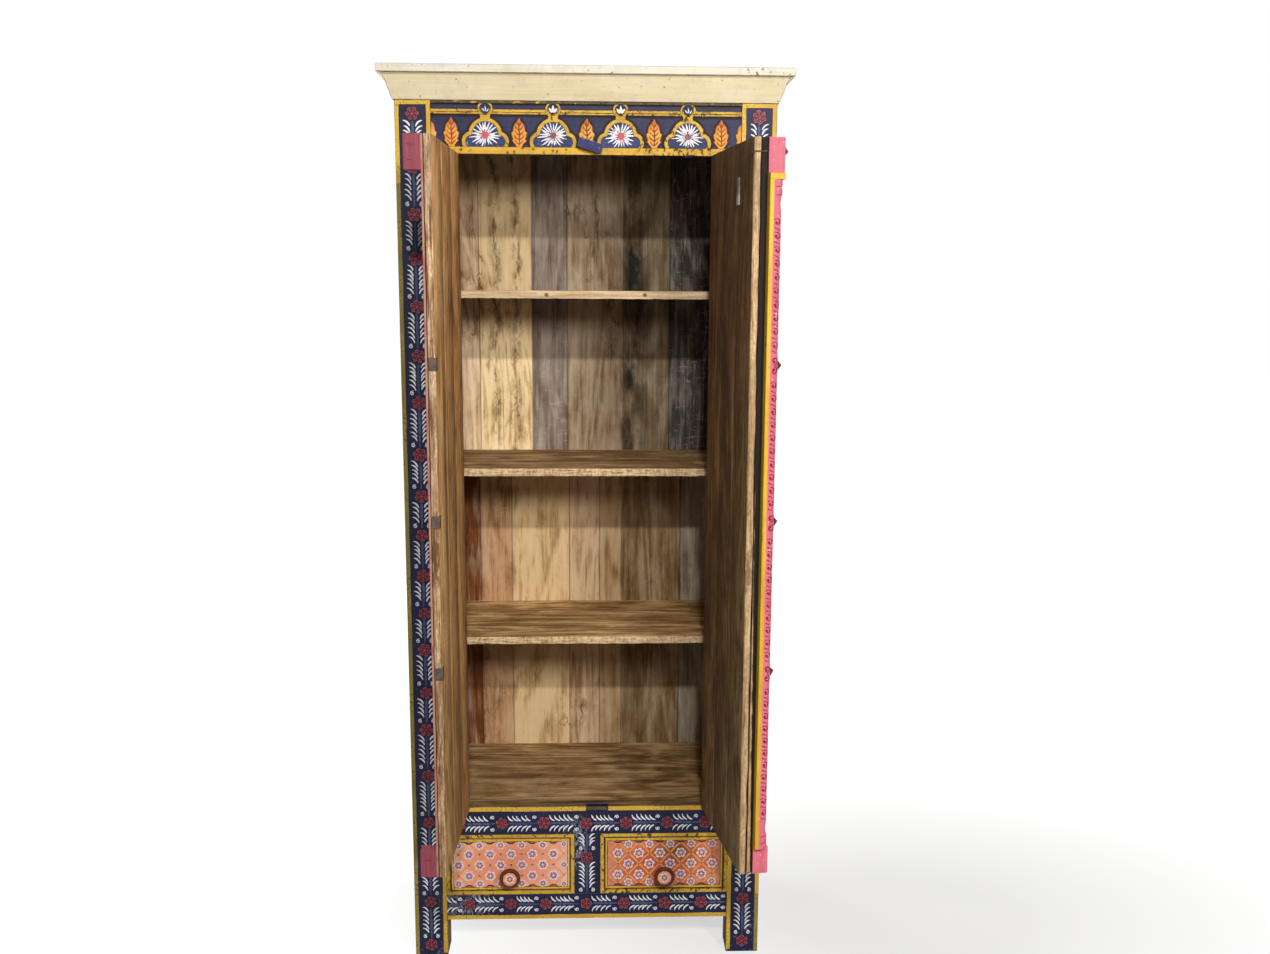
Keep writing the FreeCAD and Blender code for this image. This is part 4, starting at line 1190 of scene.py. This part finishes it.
def paint_blocks():
    kit = Kit("right_door_edge", "right_door")
    edge = on_lead("right")
    kit["rose"].border(edge, PANEL_Z1 + 1, DOOR_Z1 - 1, 12.4, 13.3, 0.2, 12, 0.25)
    kit["rose"].comma(edge, (3, DOOR_Z1 - 24), (10, DOOR_Z1 - 23), (17, DOOR_Z1 - 24), 0.9, 0.15)
    kit.done()
    kit = Kit("left_door_edge", "left_door")
    edge = on_lead("left")
    for z, a, b in ((PANEL_Z1 + 44, 4, 20), (PANEL_Z1 + 41, 8, 24), (PANEL_Z1 + 16, 6, 15), (PANEL_Z0 - 20, 5, 22)):
        kit["dark"].comma(edge, (a, z), (0.5 * (a + b), z + 1.2), (b, z + 0.4), 1.1, 0.15)
    kit.done()


COLUMN_HALF, SHAFT, COLUMN_POWER = 20.12, 15.6, 2.5
SWIRL_PITCH, SWIRL_R, NAIL_ROOM = 24, 7.2, 24
# Rise from the column's end, and depth.
COLUMN_END = ((0, 17.2), (9, 17.6), (11, 15.2), (13.5, 15.2), (15, 17.4), (25, 17.4), (28, 15.4), (40, 13.6),
              (50, 14.6), (56, SHAFT))


def column_profile():
    """Heights and depths of the half-round column: knops at both ends and a swelling under each pyramid nail."""
    foot = [(PANEL_Z0 + rise, r) for rise, r in COLUMN_END]
    head = [(PANEL_Z1 - COLLAR_H - rise, r) for rise, r in reversed(COLUMN_END)]
    swells = [(z + dz, r) for z in LEDGES for dz, r in ((-19, SHAFT), (-15, 16.4), (15, 16.4), (19, SHAFT))]
    marks = sorted(foot + swells + head)
    profile = []
    for (z0, r0), (z1, r1) in zip(marks, marks[1:]):
        count = max(1, int((z1 - z0) / 9))
        profile += [(z0 + (z1 - z0) * i / count, r0 + (r1 - r0) * i / count) for i in range(count)]
    return profile + [marks[-1]]


def fullness(share):
    """Half-round outline with full shoulders: how far it reaches in one direction at a share of the other."""
    return (1 - min(1, abs(share)) ** COLUMN_POWER) ** (1 / COLUMN_POWER)


def carved_column():
    at = leaf("right")
    arc = [sin(pi * (i / 16 - 0.5)) for i in range(17)]
    rings = []
    for z, r in column_profile():
        r += 0.5 * (wander(0.05 * z, 2) - 0.5)
        ring = [(COLUMN_U + COLUMN_HALF * share, COLUMN_FACE - r * fullness(share)) for share in arc]
        ring += [(COLUMN_U + COLUMN_HALF, COLUMN_FACE + 2.6), (COLUMN_U - COLUMN_HALF, COLUMN_FACE + 2.6)]
        rings.append([at(u, v, z) for u, v in ring])
    add_lofts("carved_column", [rings], "right_door", "pink", "pink_paint", "right_door_column", 35)


def swirl_column():
    kit = Kit("column", "right_door")
    at = leaf("right")
    skin = SHAFT + 0.3

    def flank(sign):
        return lambda a, b, h: at(COLUMN_U + sign * (COLUMN_HALF * fullness(a / skin) + h), COLUMN_FACE - a, b)

    def crown(a, b, h):
        return at(COLUMN_U + a, COLUMN_FACE - skin * fullness(a / COLUMN_HALF) - h, b)

    rows = ((flank(1), 5.6), (crown, 0), (flank(-1), 5.6))
    lows = [PANEL_Z0 + 62] + [z + NAIL_ROOM for z in LEDGES]
    highs = [z - NAIL_ROOM for z in LEDGES] + [PANEL_Z1 - 74]
    for z0, z1 in zip(lows, highs):
        count = round((z1 - z0) / SWIRL_PITCH)
        step = (z1 - z0) / count
        for i in range(count):
            v = z0 + (i + 0.5) * step
            for place, middle in rows:
                start = 2.2 + rng.uniform(-0.4, 0.4)
                a = middle + rng.uniform(-0.6, 0.6)
                kit["red"].curl(place, a, v, SWIRL_R, -1, 2.4, 0.3, 0.85, start)
                kit["red"].comma(place, (a - 6, v - 9), (a - 1, v - 11), (a + 4.5, v - 14), 2, 0.3)
    for z in (PANEL_Z0 + 12, PANEL_Z0 + 26.5, PANEL_Z1 - 38.5, PANEL_Z1 - 24):
        kit["red"].ribbon(rows[0][0], [(1, z), (8, z + 0.4), (14, z)], [0.9, 1.1, 0.9], 0.9)
    for z in LEDGES:
        for place, middle in (rows[0], rows[2]):
            for hand in (-1, 1):
                kit["red"].curl(place, middle, z + 9 * hand, 7.4, hand, 2.4, 0.9, 0.95, -hand * 1.6)
    kit.done()


for name in ("shelf_1", "shelf_2", "shelf_3"):
    shelf_board(name)
for side in ("left", "right"):
    door_boards(side)
    paint_stile(side)
    paint_drawer(side)
    knob(side)
    paint_door(side)
clench_wire()
column_collar()
carved_column()
frieze_leaves()
paint_rails()
paint_frieze()
paint_blocks()
swirl_column()


# Stage, light and camera.
FLOOR_GREY, SKY_LIGHT = (0.35, 0.35, 0.35, 1), 0.045
# The floor's glow is lower in an oval under the part: a painted shadow.
SHADOW_OVAL_SCALE, SHADOW_OVAL_CENTRE = (0.75, 1.1, 0), (0.56, 0.11, 0)


def seen_directly(tree):
    """One where the camera, a reflection or a transmission looks at the surface, zero for its other light."""
    path = tree.nodes.new("ShaderNodeLightPath")
    seen = path.outputs["Is Camera Ray"]
    for name in ("Is Glossy Ray", "Is Transmission Ray"):
        both = tree.nodes.new("ShaderNodeMath")
        both.operation = "MAXIMUM"
        tree.links.new(seen, both.inputs[0])
        tree.links.new(path.outputs[name], both.inputs[1])
        seen = both.outputs[0]
    return seen


def stage():
    mesh = bpy.data.meshes.new("floor")
    mesh.from_pydata([(-12, -8, 0), (12, -8, 0), (12, 30, 0), (-12, 30, 0)], [], [(0, 1, 2, 3)])
    floor = bpy.data.objects.new("floor", mesh)
    scene.collection.objects.link(floor)
    s = Shader("floor_white", 41)
    s.bsdf.inputs["Base Color"].default_value = FLOOR_GREY
    s.bsdf.inputs["Roughness"].default_value = 0.9
    flat = s.node("VectorMath", {0: s.coord.outputs["Object"], 1: SHADOW_OVAL_SCALE}, operation="MULTIPLY")
    away = s.node("VectorMath", {0: flat, 1: SHADOW_OVAL_CENTRE}, out="Value", operation="DISTANCE")
    # Painted shadow: the glow dips inside the oval.
    level = s.math("ADD", s.span(away, 0.2, 0.95, 0.55, 0.838), s.span(away, 1, 3, 0, 0.162))
    glow = s.node("Emission", {"Strength": s.times(seen_directly(s.tree), level)})
    both = s.node("AddShader", {0: s.bsdf.outputs[0], 1: glow})
    s.tree.links.new(both, s.tree.nodes["Material Output"].inputs["Surface"])
    mesh.materials.append(s.mat)

    world = bpy.data.worlds.new("studio")
    scene.world = world
    world.use_nodes = True
    tree = world.node_tree
    back = tree.nodes["Background"]
    mix = tree.nodes.new("ShaderNodeMix")
    mix.inputs[2].default_value = SKY_LIGHT
    mix.inputs[3].default_value = 1
    tree.links.new(seen_directly(tree), mix.inputs[0])
    tree.links.new(mix.outputs[0], back.inputs["Strength"])
    back.inputs["Color"].default_value = (1, 1, 1, 1)


MIDDLE, UPPER_BACK = (0, 0, 1), (0, 0.2, 1)
WARM, WARM_HIGH, WHITE = (1, 0.97, 0.93), (1, 0.975, 0.94), (1, 1, 1)
# Name, place, aim, width, height, watts and colour.
LAMPS = (
    ("key", (1.25, -2.5, 2.05), MIDDLE, 0.4, 0.5, 37.5, WARM),
    ("front", (0.45, -2.5, 2.05), MIDDLE, 0.5, 0.5, 14, WARM),
    ("high", (0.1, -3.6, 3.2), MIDDLE, 0.25, 0.12, 73, WARM_HIGH),
    ("fill", (-1.8, -3, 2.3), MIDDLE, 1.2, 1, 5, WHITE),
    ("rear_left", (-2.6, 2.6, 2.6), UPPER_BACK, 1.6, 1.6, 45, WHITE),
    ("rear_right", (2.6, 2.6, 2.6), UPPER_BACK, 1.6, 1.6, 45, WHITE),
)


def lamp(name, place, aim, width, height, power, colour):
    data = bpy.data.lights.new(name, "AREA")
    data.shape = "ELLIPSE"
    data.size, data.size_y = width, height
    data.energy = power
    data.color = colour
    light = bpy.data.objects.new(name, data)
    light.location = place
    light.rotation_euler = (Vector(aim) - Vector(place)).to_track_quat("-Z", "Y").to_euler()
    scene.collection.objects.link(light)


def camera():
    """The photograph's view, from a fit to points measured in it."""
    place, lens = (0.0166, -2.4556, 1.4753), 32.855
    yaw, pitch, roll = radians(2.0026), radians(9.058), -0.0058
    ahead = Vector((sin(yaw) * cos(pitch), cos(yaw) * cos(pitch), -sin(pitch)))
    right = Vector((cos(yaw), -sin(yaw), 0))
    down = ahead.cross(right)
    image_x = right * cos(roll) + down * sin(roll)
    image_y = down * cos(roll) - right * sin(roll)
    data = bpy.data.cameras.new("camera")
    data.sensor_fit = "HORIZONTAL"
    data.sensor_width = 36
    data.lens = lens
    data.clip_start = 0.05
    cam = bpy.data.objects.new("camera", data)
    turn = Matrix((image_x, -image_y, -ahead)).transposed().to_4x4()
    cam.matrix_world = Matrix.Translation(place) @ turn
    scene.collection.objects.link(cam)
    scene.camera = cam


stage()
for row in LAMPS:
    lamp(*row)
camera()
scene.view_settings.view_transform = "Standard"
bpy.context.view_layer.update()
